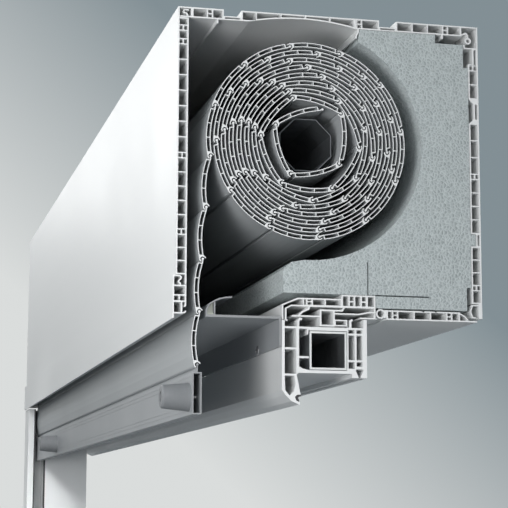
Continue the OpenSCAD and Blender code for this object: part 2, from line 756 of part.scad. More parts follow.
module drive_wheel_screws() {
    color(STEEL) for (k = [-1, 1])
        in_frame() translate([roll_x, wheel_y + wheel_l / 2, -roll_z]) rotate([0, k * 90, 0]) {
            translate([0, 0, tube_af / 2 - 5]) cylinder(r = 1.5, h = 5 + eps);
            translate([0, 0, tube_af / 2]) cylinder(r1 = 2.6, r2 = 2, h = 0.7);
        }
}

module drive_crown() {
    crown_l = 12;
    color(MOULDED) difference() {
        union() {
            along(tube_len - crown_l, tube_len + eps) translate(roll_c) octagon(tube_af - 2 * tube_t - 0.3);
            about_axis(tube_af / 2 + 1.2, tube_len, tube_len + 2);
        }
        about_axis(drive_r + run_gap, 0, box_len);
    }
}

// Stretch of the tube, whose two halves meet face to face at its middle
module tube_stretch(y0, y1) {
    color(STEEL) difference() {
        along(y0, y1) translate(roll_c) difference() {
            octagon(tube_af);
            octagon(tube_af - 2 * tube_t);
        }
        wheel_screw_holes();
    }
}

module roller_tube() {
    tube_stretch(tube_in, tube_split);
}

module roller_tube_far() {
    tube_stretch(tube_split, tube_len);
}

// Slat profile: u from the bead's pivot to the hook's pivot, v to the outside
hook_gap = [24, 250];
lift = hook_r - slat_t / 2;
body_u = hook_r + 0.4;
neck_t = 0.8;
function slat_mid(u) = lift + slat_rise * (1 - pow((2 * u - slat_pitch) / slat_pitch, 2));
function slat_in(u) = slat_mid(u) - slat_t / 2;
function slat_out(u) = slat_mid(u) + slat_t / 2;
function slat_edge(u0, u1, n, side) = [for (i = [0 : n]) let (u = u0 + (u1 - u0) * i / n)
    [u, slat_mid(u) + side]];
join_a = 180 + asin((slat_t / 2 - lift) / hook_r);
slat_outline = concat(
    slat_edge(body_u + 0.8, slat_pitch + hook_r * cos(join_a) - 0.8, 6, -slat_t / 2),
    arc([slat_pitch, 0], hook_r, join_a, hook_gap[1], 3),
    arc([slat_pitch, 0], hook_r - hook_t, hook_gap[1], hook_gap[0], 8),
    arc([slat_pitch, 0], hook_r, hook_gap[0], 84, 3),
    slat_edge(slat_pitch - 0.6, body_u, 6, slat_t / 2),
    [[body_u, neck_t / 2]],
    arc([0, 0], bead_r, asin(neck_t / 2 / bead_r), 360 - asin(neck_t / 2 / bead_r), 8),
    [[body_u, -neck_t / 2]]);
cell_0 = body_u + 0.7;
cell_1 = slat_pitch - hook_r - 0.5;
cell_w = (cell_1 - cell_0 + slat_skin) / 3;
slat_cells = [for (k = [0 : 2]) let (u0 = cell_0 + k * cell_w, u1 = u0 + cell_w - slat_skin)
    concat(slat_edge(u0, u1, 2, -slat_t / 2 + slat_skin), slat_edge(u1, u0, 2, slat_t / 2 - slat_skin))];

// Curtain: pivots wound on the roller, from the last one inwards
exit_a = 180 + roll_exit;
inner_r = tube_af / 2 / cos(22.5) + 0.3 - slat_in(slat_pitch / 2);
wind_min = sqrt(inner_r * inner_r + slat_pitch * slat_pitch / 4);
layer_pitch = 2 * hook_r + layer_gap;
first_step = layer_pitch + fit;
first_pivots = 4;
turns = 8;

// The first turn lies on the tube; further out the layers are evenly apart
function layer(r) = layer_pitch + 0.3 * pow(wind_min / r, 3);
function wind(r, a, left) = let (
    free = r - layer(r) * asin(slat_pitch / 2 / r) / 180,
    next = free < wind_min + first_step ? wind_min : free,
    rest = next > wind_min ? left : left - 1)
    rest < 0 ? [[r, a]] : concat([[r, a]], wind(next, a - swing(r, next), rest));
function swing(r, next) = acos((r * r + next * next - slat_pitch * slat_pitch) / (2 * r * next));
wound = wind(roll_r, exit_a, first_pivots);
function wound_at(i) = roll_c + wound[i][0] * [cos(wound[i][1]), sin(wound[i][1])];
function turn_of(i) = max(1, turns - floor((exit_a - wound[i][1] + 0.01) / 360));

// Slat between two pivots of the section
module slat(from, to) {
    u = unit(to - from);
    v = [u[1], -u[0]];
    points = [for (list = concat([slat_outline], slat_cells), p = list) from + p[0] * u + p[1] * v];
    rim = len(slat_outline);
    cell = len(slat_cells[0]);
    polygon(points, concat([[for (i = [rim - 1 : -1 : 0]) i]],
        [for (k = [0 : 2]) [for (i = [0 : cell - 1]) rim + k * cell + i]]));
}

module wound_slats(turn) {
    color(CURTAIN) for (i = [0 : len(wound) - 2])
        if (turn_of(i) == turn) along(0, curtain_len) slat(wound_at(i + 1), wound_at(i));
}

module wound_slats_turn_1() {
    wound_slats(1);
}

module wound_slats_turn_2() {
    wound_slats(2);
}

module wound_slats_turn_3() {
    wound_slats(3);
}

module wound_slats_turn_4() {
    wound_slats(4);
}

module wound_slats_turn_5() {
    wound_slats(5);
}

module wound_slats_turn_6() {
    wound_slats(6);
}

module wound_slats_turn_7() {
    wound_slats(7);
}

module wound_slats_turn_8() {
    wound_slats(8);
}

// Straps from the tube to the innermost slat's bead
hanger_w = 30;
hanger_y = [0.1, 0.5, 0.9];

module curtain_hangers() {
    last = wound[len(wound) - 1];
    flat = 45 * round((last[1] - 22) / 45);
    tube_r = tube_af / 2;
    start = last[1] - flat;
    color(STEEL) for (k = hanger_y)
        along(k * (curtain_len - hanger_w), k * (curtain_len - hanger_w) + hanger_w)
            translate(roll_c) rotate(flat)
                strip(concat([[tube_r + 0.35, -6], [tube_r + 0.35, 4]],
                    arc(last[0] * [cos(start), sin(start)], bead_r + 0.75, 205, 375, 5)), 0.6);
}

// Curtain below the roller
lean = [-2.9, -2.3, -2.1, -1.2];
function below(i) = i == 0 ? wound_at(0) : below(i - 1) + slat_pitch * unit([lean[i - 1], -slat_pitch]);
hang = [for (i = [0 : 4]) below(i)];

module hanging_slat(i) {
    color(CURTAIN) along(0, curtain_len) {
        slat(hang[i], hang[i + 1]);
        translate(hang[i]) circle(r = bead_r);
    }
}

module tail_slat() {
    hanging_slat(0);
}

module hanging_slat_1() {
    hanging_slat(1);
}

module hanging_slat_2() {
    hanging_slat(2);
}

module hanging_slat_3() {
    hanging_slat(3);
}

bar_c = hang[4][0];
rail_slot_x = bar_c - 0.95;
bar_top = hang[4][1] - 5.2;
buffer_z = bar_top - bar_h / 2 - 2;

module bar_section() {
    groove = 0.2;
    difference() {
        union() {
            rect([bar_c - bar_t / 2, bar_top - bar_h], [bar_c + bar_t / 2, bar_top]);
            rect([bar_c - neck_t / 2, bar_top - eps], [bar_c + neck_t / 2, hang[4][1]]);
            translate(hang[4]) circle(r = bead_r);
        }
        rect([bar_c - bar_t / 2 + bar_wall, bar_top - bar_h + bar_wall],
            [bar_c + bar_t / 2 - bar_wall, bar_top - bar_wall]);
        for (z = [3, 6, bar_h - 6, bar_h - 3])
            rect([bar_c - bar_t / 2 - 1, bar_top - z - 0.4], [bar_c - bar_t / 2 + groove, bar_top - z + 0.4]);
    }
}

module bottom_bar() {
    color(GREY) difference() {
        along(0, curtain_len) bar_section();
        for (y = [buffer_near, buffer_far]) screw_hole(bar_c - bar_t / 2 + 1, y, buffer_z);
    }
}

module bottom_bar_plug() {
    inset = bar_wall + 0.1;
    color(PVC) {
        along(curtain_len, curtain_len + 3)
            rect([bar_c - bar_t / 2 + 0.2, bar_top - bar_h + 0.2], [bar_c + bar_t / 2 - 0.2, bar_top - 0.2]);
        along(curtain_len - 14, curtain_len + eps)
            rect([bar_c - bar_t / 2 + inset, bar_top - bar_h + inset],
                [bar_c + bar_t / 2 - inset, bar_top - inset]);
    }
}

// Rubber stop on the bar's street face that meets the fascia when the curtain is up
module stop_buffer(y) {
    color(RUBBER) difference() {
        in_frame() translate([bar_c - bar_t / 2, y, buffer_z]) rotate([0, -90, 0]) {
            cylinder(r1 = buffer_r, r2 = buffer_tip_r, h = buffer_len - 1);
            translate([0, 0, buffer_len - 1 - eps]) cylinder(r1 = buffer_tip_r, r2 = buffer_tip_r - 1, h = 1);
        }
        in_frame() translate([bar_c - bar_t / 2 - 3, y, buffer_z]) rotate([0, -90, 0])
            cylinder(r = screw_head_r + 0.2, h = buffer_len);
        screw_hole(bar_c - bar_t / 2 - 1, y, buffer_z);
    }
}

module stop_buffer_near() {
    stop_buffer(buffer_near);
}

module stop_buffer_far() {
    stop_buffer(buffer_far);
}

module buffer_screws() {
    color(STEEL) for (y = [buffer_near, buffer_far]) intersection() {
        screw(bar_c - bar_t / 2 - 3, y, buffer_z);
        in_frame() translate([bar_c - 12, y - 5, buffer_z - 5])
            cube([12 + bar_t / 2 - bar_wall - 0.3, 10, 10]);
    }
}

upper_fascia_panel();
lower_fascia_profile();
top_panel();
rear_panel();
insulation_block();
inspection_cover();
frame_adapter();
frame_head();
frame_head_steel();
rebate_gasket();
soffit_profile();
soffit_seal();
soffit_screws();
guide_rail();
rail_street_seal();
rail_room_seal();
rail_screws();
far_end_cap();
drive_bracket();
bracket_screws();
drive_head();
drive_body();
drive_shaft();
drive_wheel();
drive_wheel_screws();
drive_crown();
roller_tube();
roller_tube_far();
curtain_hangers();
wound_slats_turn_1();
wound_slats_turn_2();
wound_slats_turn_3();
wound_slats_turn_4();
wound_slats_turn_5();
wound_slats_turn_6();
wound_slats_turn_7();
wound_slats_turn_8();
tail_slat();
hanging_slat_1();
hanging_slat_2();
hanging_slat_3();
bottom_bar();
bottom_bar_plug();
stop_buffer_near();
stop_buffer_far();
buffer_screws();
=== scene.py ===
"""Looks of a roller shutter box on a window head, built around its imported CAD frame.

Everything is in metres in the part's own frame: x runs from the street to the room, y from the cut
end to the end cap, and z up from the face that meets the lintel.
"""

from __future__ import annotations

import logging
import math
import random
from dataclasses import dataclass, field
from enum import Enum
from typing import Any, Callable, Iterable, Optional, Sequence, Union

import bmesh
import bpy
from mathutils import Matrix, Vector

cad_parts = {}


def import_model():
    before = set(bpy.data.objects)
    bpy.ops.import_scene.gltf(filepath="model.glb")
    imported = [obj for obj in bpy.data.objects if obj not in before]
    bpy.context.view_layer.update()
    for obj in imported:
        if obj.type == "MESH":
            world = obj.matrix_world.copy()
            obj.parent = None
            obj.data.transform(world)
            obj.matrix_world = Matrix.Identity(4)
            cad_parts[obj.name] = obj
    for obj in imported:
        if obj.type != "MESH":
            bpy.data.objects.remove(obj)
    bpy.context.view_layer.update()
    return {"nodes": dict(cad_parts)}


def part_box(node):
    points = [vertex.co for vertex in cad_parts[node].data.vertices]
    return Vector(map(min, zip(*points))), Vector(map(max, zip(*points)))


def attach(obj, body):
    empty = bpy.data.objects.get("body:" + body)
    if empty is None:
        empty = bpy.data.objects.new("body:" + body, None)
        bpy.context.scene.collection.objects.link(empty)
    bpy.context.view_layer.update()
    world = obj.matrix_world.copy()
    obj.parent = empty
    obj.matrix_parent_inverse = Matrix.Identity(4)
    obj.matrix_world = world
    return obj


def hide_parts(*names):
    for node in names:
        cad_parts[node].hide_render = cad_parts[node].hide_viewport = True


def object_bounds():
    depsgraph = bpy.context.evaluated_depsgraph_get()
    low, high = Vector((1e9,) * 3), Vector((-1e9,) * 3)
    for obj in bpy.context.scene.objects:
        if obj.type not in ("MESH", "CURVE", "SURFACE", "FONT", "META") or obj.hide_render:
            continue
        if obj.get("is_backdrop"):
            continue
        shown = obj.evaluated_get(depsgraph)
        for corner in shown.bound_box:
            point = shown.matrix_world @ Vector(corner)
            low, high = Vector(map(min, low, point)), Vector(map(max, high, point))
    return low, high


LOG = logging.getLogger("shutter")
MM = 0.001
WELD = 1e-6
PLACE_DIGITS = 4

Colour = tuple[float, float, float]
Place = tuple[float, float, float]
Span = tuple[float, float]
Material = bpy.types.Material
Mesh = bmesh.types.BMesh
Node = bpy.types.Node
Piece = bpy.types.Object
Socket = bpy.types.NodeSocket
Tree = bpy.types.NodeTree
Plug = Union[float, tuple, Socket]
Pieces = dict[str, Piece]
Ring = list[bmesh.types.BMVert]


def tint(colour: Colour) -> tuple[float, float, float, float]:
    """Gives a colour its alpha."""
    return (*colour, 1.0)


# Shader wiring


class Wiring:
    """Adds nodes to one shader tree and joins them."""

    # Places of the colour sockets on Blender's mix node
    MIX_FIRST, MIX_SECOND, MIX_RESULT = 6, 7, 2

    def __init__(self, tree: Tree) -> None:
        """Starts on a tree.

        Args:
            tree: The node tree to work in.
        """
        self.tree = tree

    @classmethod
    def cleared(cls, owner: Union[Material, bpy.types.World]) -> Wiring:
        """Starts on a material's or a world's tree, with no node left in it.

        Args:
            owner: The material or world.

        Returns:
            The tree's wiring.
        """
        owner.use_nodes = True
        owner.node_tree.nodes.clear()
        return cls(owner.node_tree)

    def add(self, kind: str, **settings: Any) -> Node:
        """Adds one node.

        Args:
            kind: The node's type name.
            **settings: Attributes to set on the node.

        Returns:
            The new node.
        """
        node = self.tree.nodes.new(kind)
        for name, value in settings.items():
            setattr(node, name, value)
        return node

    def feed(self, socket: Socket, value: Plug) -> None:
        """Links a socket to another one, or sets its value.

        Args:
            socket: The input to feed.
            value: Another node's output, or a plain value.
        """
        if isinstance(value, Socket):
            self.tree.links.new(value, socket)
        else:
            socket.default_value = value

    def math(self, operation: str, a: Plug, b: Plug = 0.0) -> Socket:
        """Adds a math node.

        Args:
            operation: Blender's name of the operation.
            a: First value.
            b: Second value.

        Returns:
            The result's socket.
        """
        node = self.add("ShaderNodeMath", operation=operation)
        self.feed(node.inputs[0], a)
        self.feed(node.inputs[1], b)
        return node.outputs[0]

    def average(self, a: Plug, b: Plug) -> Socket:
        """Gives the mean of two values."""
        return self.math("MULTIPLY", self.math("ADD", a, b), 0.5)

    def weigh(self, a: Plug, a_share: float, b: Plug, b_share: float) -> Socket:
        """Adds a share of one value to a share of another."""
        return self.math("ADD", self.math("MULTIPLY", a, a_share), self.math("MULTIPLY", b, b_share))

    def offset(self, at: Plug, by: Plug, operation: str = "ADD") -> Socket:
        """Adds one vector to another or takes it away.

        Args:
            at: First vector.
            by: Second vector.
            operation: Blender's name of the operation.

        Returns:
            The result's socket.
        """
        node = self.add("ShaderNodeVectorMath", operation=operation)
        self.feed(node.inputs[0], at)
        self.feed(node.inputs[1], by)
        return node.outputs[0]

    def remap(
        self, value: Plug, low: float, high: float, to_low: Plug = 0.0, to_high: Plug = 1.0
    ) -> Socket:
        """Stretches a value from one span to another.

        Args:
            value: The value to stretch.
            low: Start of its span.
            high: End of its span.
            to_low: Start of the new span.
            to_high: End of the new span.

        Returns:
            The stretched value's socket.
        """
        node = self.add("ShaderNodeMapRange")
        for socket, given in zip(node.inputs, (value, low, high, to_low, to_high)):
            self.feed(socket, given)
        return node.outputs[0]

    def fade(self, share: Plug, start: Plug, end: Plug) -> Socket:
        """Goes from one value to another as a share goes from 0 to 1."""
        return self.remap(share, 0.0, 1.0, start, end)

    def mix(self, share: Plug, a: Plug, b: Plug, blend: str = "MIX") -> Socket:
        """Mixes two colours.

        Args:
            share: How much of the second colour shows.
            a: First colour.
            b: Second colour.
            blend: Blender's name of the blend.

        Returns:
            The mixed colour's socket.
        """
        node = self.add("ShaderNodeMix", data_type="RGBA", blend_type=blend)
        self.feed(node.inputs[0], share)
        self.feed(node.inputs[self.MIX_FIRST], a)
        self.feed(node.inputs[self.MIX_SECOND], b)
        return node.outputs[self.MIX_RESULT]

    def mix_shaders(self, share: Plug, a: Node, b: Node) -> Socket:
        """Mixes what two shader nodes put out.

        Args:
            share: How much of the second shader shows.
            a: First shader node.
            b: Second shader node.

        Returns:
            The mixed shader's socket.
        """
        node = self.add("ShaderNodeMixShader")
        for socket, given in zip(node.inputs, (share, a.outputs[0], b.outputs[0])):
            self.feed(socket, given)
        return node.outputs[0]

    def shown(self, rays: Node) -> Socket:
        """Tells the rays that show a surface from those that carry its light.

        Args:
            rays: A light path node.

        Returns:
            The socket that is 1 for a camera, glossy or transmission ray.
        """
        straight = self.math("MAXIMUM", rays.outputs["Is Camera Ray"], rays.outputs["Is Glossy Ray"])
        return self.math("MAXIMUM", straight, rays.outputs["Is Transmission Ray"])

    def place(self, stretch: Place = (1.0, 1.0, 1.0)) -> Socket:
        """Gives the place on the part, stretched along its axes.

        Args:
            stretch: Factor along x, y and z.

        Returns:
            The stretched place's socket.
        """
        place = self.add("ShaderNodeTexCoord").outputs["Object"]
        mapping = self.add("ShaderNodeMapping", vector_type="POINT")
        self.feed(mapping.inputs["Vector"], place)
        mapping.inputs["Scale"].default_value = stretch
        return mapping.outputs["Vector"]

    def noise(self, at: Plug, scale: Plug, detail: float = 2.0, rough: float = 0.5) -> Socket:
        """Adds a noise texture.

        Args:
            at: The place to read it at.
            scale: Features per metre.
            detail: Number of finer layers.
            rough: Weight of the finer layers.

        Returns:
            The noise value's socket.
        """
        node = self.add("ShaderNodeTexNoise", noise_dimensions="3D")
        self.feed(node.inputs["Vector"], at)
        self.feed(node.inputs["Scale"], scale)
        node.inputs["Detail"].default_value = detail
        node.inputs["Roughness"].default_value = rough
        return node.outputs["Fac"]

    def cells(self, at: Plug, scale: Plug, feature: str = "F1") -> Node:
        """Adds a cell texture.

        Args:
            at: The place to read it at.
            scale: Cells per metre.
            feature: Blender's name of what is measured.

        Returns:
            The cell texture node.
        """
        node = self.add("ShaderNodeTexVoronoi", voronoi_dimensions="3D", feature=feature)
        self.feed(node.inputs["Vector"], at)
        self.feed(node.inputs["Scale"], scale)
        return node


# Shared surface effects


class Effect(Enum):
    """Surface effects that several finishes share."""

    DIE_LINES = "die_lines"
    SAW_CUT = "saw_cut"
    CLOUDS = "clouds"
    GRAIN = "moulded_grain"
    CELLS = "cells"


@dataclass(frozen=True)
class GroupPort:
    """One named socket of an effect's node group."""

    name: str
    start: Optional[float] = None

    def add_to(self, tree: Tree) -> None:
        """Makes the socket: an input where it has a start value, otherwise an output.

        Args:
            tree: The node group.
        """
        way = "OUTPUT" if self.start is None else "INPUT"
        socket = tree.interface.new_socket(name=self.name, in_out=way, socket_type="NodeSocketFloat")
        if self.start is not None:
            socket.default_value = self.start


class EffectShelf:
    """Builds each shared effect once as a node group and places it in materials."""

    def __init__(self) -> None:
        """Starts with no group built."""
        self._groups: dict[Effect, Tree] = {}
        self._recipes: dict[Effect, Callable[[], Tree]] = {
            Effect.DIE_LINES: self._die_lines,
            Effect.SAW_CUT: self._saw_cut,
            Effect.CLOUDS: self._clouds,
            Effect.GRAIN: self._grain,
            Effect.CELLS: self._cells,
        }

    def use(self, wiring: Wiring, effect: Effect, **values: float) -> dict[str, Socket]:
        """Places an effect in a material.

        Args:
            wiring: The material's wiring.
            effect: Which effect.
            **values: The effect's inputs by name.

        Returns:
            The effect's outputs by name.
        """
        if effect not in self._groups:
            self._groups[effect] = self._recipes[effect]()
        node = wiring.add("ShaderNodeGroup", node_tree=self._groups[effect])
        for name, value in values.items():
            wiring.feed(node.inputs[name], value)
        return {socket.name: socket for socket in node.outputs}

    @staticmethod
    def _open(effect: Effect, ports: Iterable[GroupPort]) -> tuple[Wiring, Node, Node]:
        """Starts a group with its sockets.

        Args:
            effect: The effect the group is for.
            ports: Its sockets.

        Returns:
            The group's wiring, its input node and its output node.
        """
        tree = bpy.data.node_groups.new(effect.value, "ShaderNodeTree")
        for port in ports:
            port.add_to(tree)
        wiring = Wiring(tree)
        return wiring, wiring.add("NodeGroupInput"), wiring.add("NodeGroupOutput")

    def _die_lines(self) -> Tree:
        """Fine lines that an extruded profile carries along its length.

        Returns:
            The effect's node group.
        """
        fine_draw, broad_draw = (1.0, 0.003, 1.0), (1.0, 0.012, 1.0)
        broad_pitch, fine_share, broad_share = 0.08, 0.4, 0.6
        tone_span: Span = (0.3, 0.7)
        ports = (GroupPort("Lines", 700.0), GroupPort("Height"), GroupPort("Tone"))
        w, given, out = self._open(Effect.DIE_LINES, ports)
        lines = given.outputs["Lines"]
        fine = w.noise(w.place(fine_draw), lines, detail=2.0, rough=0.6)
        broad = w.noise(w.place(broad_draw), w.math("MULTIPLY", lines, broad_pitch), detail=1.0)
        w.feed(out.inputs["Height"], w.weigh(fine, fine_share, broad, broad_share))
        w.feed(out.inputs["Tone"], w.remap(broad, *tone_span))
        return w.tree

    def _saw_cut(self) -> Tree:
        """Mask of the faces that a saw left across the profiles, and the arcs of its teeth.

        Returns:
            The effect's node group.
        """
        end_facing: Span = (0.90, 0.97)
        to_hub: Place = (0.55, 0.0, -0.35)
        wander = {"Distortion": 2.2, "Detail": 2.0, "Detail Scale": 0.6}
        ports = (GroupPort("Arcs", 420.0), GroupPort("Mask"), GroupPort("Height"))
        w, given, out = self._open(Effect.SAW_CUT, ports)
        split = w.add("ShaderNodeSeparateXYZ")
        w.feed(split.inputs[0], w.add("ShaderNodeNewGeometry").outputs["Normal"])
        mask = w.remap(w.math("ABSOLUTE", split.outputs["Y"]), *end_facing)
        rings = w.add("ShaderNodeTexWave", wave_type="RINGS", rings_direction="Y", wave_profile="SIN")
        w.feed(rings.inputs["Vector"], w.offset(w.place((1.0, 0.0, 1.0)), to_hub))
        w.feed(rings.inputs["Scale"], given.outputs["Arcs"])
        for name, value in wander.items():
            rings.inputs[name].default_value = value
        w.feed(out.inputs["Mask"], mask)
        w.feed(out.inputs["Height"], w.math("MULTIPLY", rings.outputs["Fac"], mask))
        return w.tree

    def _clouds(self) -> Tree:
        """Slow, soft variation of tone over a surface, and small flecks.

        Returns:
            The effect's node group.
        """
        fleck_pitch = 22.0
        tone_span: Span = (0.28, 0.72)
        fleck_span: Span = (0.62, 0.80)
        ports = (GroupPort("Scale", 12.0), GroupPort("Tone"), GroupPort("Fleck"))
        w, given, out = self._open(Effect.CLOUDS, ports)
        at, scale = w.place(), given.outputs["Scale"]
        tone = w.noise(at, scale, detail=3.0, rough=0.55)
        fleck = w.noise(at, w.math("MULTIPLY", scale, fleck_pitch))
        w.feed(out.inputs["Tone"], w.remap(tone, *tone_span))
        w.feed(out.inputs["Fleck"], w.remap(fleck, *fleck_span))
        return w.tree

    def _grain(self) -> Tree:
        """Fine grain of moulded rubber and plastics, or the tooth of plated metal.

        Returns:
            The effect's node group.
        """
        soft_pitch, pit_share, soft_share = 0.25, 0.6, 0.5
        ports = (GroupPort("Scale", 1500.0), GroupPort("Height"), GroupPort("Tone"))
        w, given, out = self._open(Effect.GRAIN, ports)
        at, scale = w.place(), given.outputs["Scale"]
        pits = w.cells(at, scale).outputs["Distance"]
        soft = w.noise(at, w.math("MULTIPLY", scale, soft_pitch), detail=3.0, rough=0.6)
        w.feed(out.inputs["Height"], w.weigh(pits, pit_share, soft, soft_share))
        w.feed(out.inputs["Tone"], soft)
        return w.tree

    def _cells(self) -> Tree:
        """Packed cells: beads of foam, or the flowers of a zinc coat.

        Returns:
            The effect's node group.
        """
        push_pitch, seam_reach, dome_reach = 0.7, 0.13, 0.45
        push_middle: Place = (0.5, 0.5, 0.5)
        given_ports = (GroupPort("Scale", 300.0), GroupPort("Warp", 0.2))
        ports = (*given_ports, GroupPort("Tone"), GroupPort("Seam"), GroupPort("Dome"))
        w, given, out = self._open(Effect.CELLS, ports)
        at, scale = w.place(), given.outputs["Scale"]
        push = w.add("ShaderNodeTexNoise", noise_dimensions="3D")
        w.feed(push.inputs["Vector"], at)
        w.feed(push.inputs["Scale"], w.math("MULTIPLY", scale, push_pitch))
        size = w.add("ShaderNodeVectorMath", operation="SCALE")
        w.feed(size.inputs[0], w.offset(push.outputs["Color"], push_middle, "SUBTRACT"))
        w.feed(size.inputs["Scale"], w.math("DIVIDE", given.outputs["Warp"], scale))
        moved = w.offset(at, size.outputs[0])
        edge = w.cells(moved, scale, "DISTANCE_TO_EDGE").outputs["Distance"]
        split = w.add("ShaderNodeSeparateColor")
        w.feed(split.inputs[0], w.cells(moved, scale).outputs["Color"])
        w.feed(out.inputs["Tone"], split.outputs[0])
        w.feed(out.inputs["Seam"], w.remap(edge, 0.0, seam_reach, 1.0, 0.0))
        w.feed(out.inputs["Dome"], w.remap(edge, 0.0, dome_reach))
        return w.tree


# Finishes


@dataclass(frozen=True)
class Finish:
    """A named finish with the plain values of its shader.

    Cloud is how many soft patches lie in a metre. The two steps of worn are added to the roughness,
    the first where a tone is lowest and the second where it is highest.
    """

    name: str
    roughness: float = 0.5
    metallic: float = 0.0
    specular: float = 0.5
    cloud: float = 12.0
    worn: Span = (0.0, 0.0)

    def build(self, shelf: EffectShelf) -> Material:
        """Makes the finish's material.

        Args:
            shelf: The shared effects.

        Returns:
            The new material.
        """
        material = bpy.data.materials.new(self.name)
        wiring = Wiring.cleared(material)
        shader = wiring.add("ShaderNodeBsdfPrincipled")
        shader.inputs["Metallic"].default_value = self.metallic
        shader.inputs["Roughness"].default_value = self.roughness
        shader.inputs["Specular IOR Level"].default_value = self.specular
        output = wiring.add("ShaderNodeOutputMaterial")
        wiring.feed(output.inputs["Surface"], shader.outputs["BSDF"])
        self.dress(wiring, shader, shelf)
        return material

    def dress(self, wiring: Wiring, shader: Node, shelf: EffectShelf) -> None:
        """Wires the finish's own colour, roughness and relief.

        Args:
            wiring: The material's wiring.
            shader: Its shader node.
            shelf: The shared effects.
        """
        raise NotImplementedError

    def shine(self, wiring: Wiring, tone: Plug) -> Socket:
        """Lets the roughness drift with a tone.

        Args:
            wiring: The material's wiring.
            tone: The tone it follows.

        Returns:
            The roughness's socket.
        """
        low, high = self.worn
        return wiring.fade(tone, self.roughness + low, self.roughness + high)

    @staticmethod
    def relief(wiring: Wiring, shader: Node, layers: Sequence[tuple[Socket, float]]) -> None:
        """Stacks heights as bumps on the shader's normal.

        Args:
            wiring: The material's wiring.
            shader: The shader node.
            layers: Each layer's height and its depth in metres.
        """
        under: Optional[Socket] = None
        for height, depth in layers:
            bump = wiring.add("ShaderNodeBump")
            bump.inputs["Strength"].default_value = 1.0
            bump.inputs["Distance"].default_value = depth
            wiring.feed(bump.inputs["Height"], height)
            if under is not None:
                wiring.feed(bump.inputs["Normal"], under)
            under = bump.outputs["Normal"]
        if under is not None:
            wiring.feed(shader.inputs["Normal"], under)


@dataclass(frozen=True)
class ExtrudedFinish(Finish):
    """Extruded plastic or metal with die lines on its skins and saw cuts at its ends; the paler colour
    of the plastics' cuts is a painted highlight.
    """

    cloud: float = 9.0
    worn: Span = (-0.05, 0.06)
    skin: Colour = (0.80, 0.81, 0.81)
    skin_shade: Colour = (0.76, 0.775, 0.775)
    # Colour of the saw-cut faces; paler than the skin, it is a painted highlight.
    cut: Colour = (0.93, 0.94, 0.94)
    cut_roughness: float = 0.62
    lines: float = 700.0
    line_depth: float = 0.02 * MM
    streak: float = 0.05
    arcs: float = 420.0
    arc_depth: float = 0.04 * MM

    def dress(self, wiring: Wiring, shader: Node, shelf: EffectShelf) -> None:
        """Wires skins, die lines and saw cuts, the cuts' paler colour being a painted highlight.

        Args:
            wiring: The material's wiring.
            shader: Its shader node.
            shelf: The shared effects.
        """
        lines = shelf.use(wiring, Effect.DIE_LINES, Lines=self.lines)
        saw = shelf.use(wiring, Effect.SAW_CUT, Arcs=self.arcs)
        clouds = shelf.use(wiring, Effect.CLOUDS, Scale=self.cloud)
        tone = wiring.average(lines["Tone"], clouds["Tone"])
        skin = wiring.mix(tone, tint(self.skin_shade), tint(self.skin))
        # The end-facing faces take the cut colour: a painted highlight on the sections.
        wiring.feed(shader.inputs["Base Color"], wiring.mix(saw["Mask"], skin, tint(self.cut)))
        streak = wiring.math("MULTIPLY", lines["Tone"], self.streak)
        drawn = wiring.math("ADD", self.shine(wiring, clouds["Tone"]), streak)
        wiring.feed(shader.inputs["Roughness"], wiring.fade(saw["Mask"], drawn, self.cut_roughness))
        layers = ((lines["Height"], self.line_depth), (saw["Height"], self.arc_depth))
        self.relief(wiring, shader, layers)


@dataclass(frozen=True)
class FoamFinish(Finish):
    """Cut bead foam: fused beads with pale seams, some of them darker, and dark crumbs."""

    cloud: float = 14.0
    worn: Span = (-0.13, 0.05)
    bead: Colour = (0.53, 0.583, 0.588)
    bead_dark: Colour = (0.445, 0.493, 0.498)
    bead_bias: float = 1.4
    beads: float = 390.0
    squeeze: float = 0.35
    seam: Colour = (0.65, 0.70, 0.705)
    seam_share: float = 0.75
    crumb: Colour = (0.80, 0.80, 0.81)
    dome_depth: float = 0.4 * MM

    def dress(self, wiring: Wiring, shader: Node, shelf: EffectShelf) -> None:
        """Wires beads, seams and the crumbs between them.

        Args:
            wiring: The material's wiring.
            shader: Its shader node.
            shelf: The shared effects.
        """
        cells = shelf.use(wiring, Effect.CELLS, Scale=self.beads, Warp=self.squeeze)
        clouds = shelf.use(wiring, Effect.CLOUDS, Scale=self.cloud)
        pale = wiring.math("POWER", cells["Tone"], self.bead_bias)
        bead = wiring.mix(pale, tint(self.bead_dark), tint(self.bead))
        seam = wiring.math("MULTIPLY", cells["Seam"], self.seam_share)
        fused = wiring.mix(seam, bead, tint(self.seam))
        crumbs = wiring.mix(1.0, fused, tint(self.crumb), "MULTIPLY")
        wiring.feed(shader.inputs["Base Color"], wiring.mix(clouds["Fleck"], fused, crumbs))
        wiring.feed(shader.inputs["Roughness"], self.shine(wiring, cells["Tone"]))
        self.relief(wiring, shader, ((cells["Dome"], self.dome_depth),))


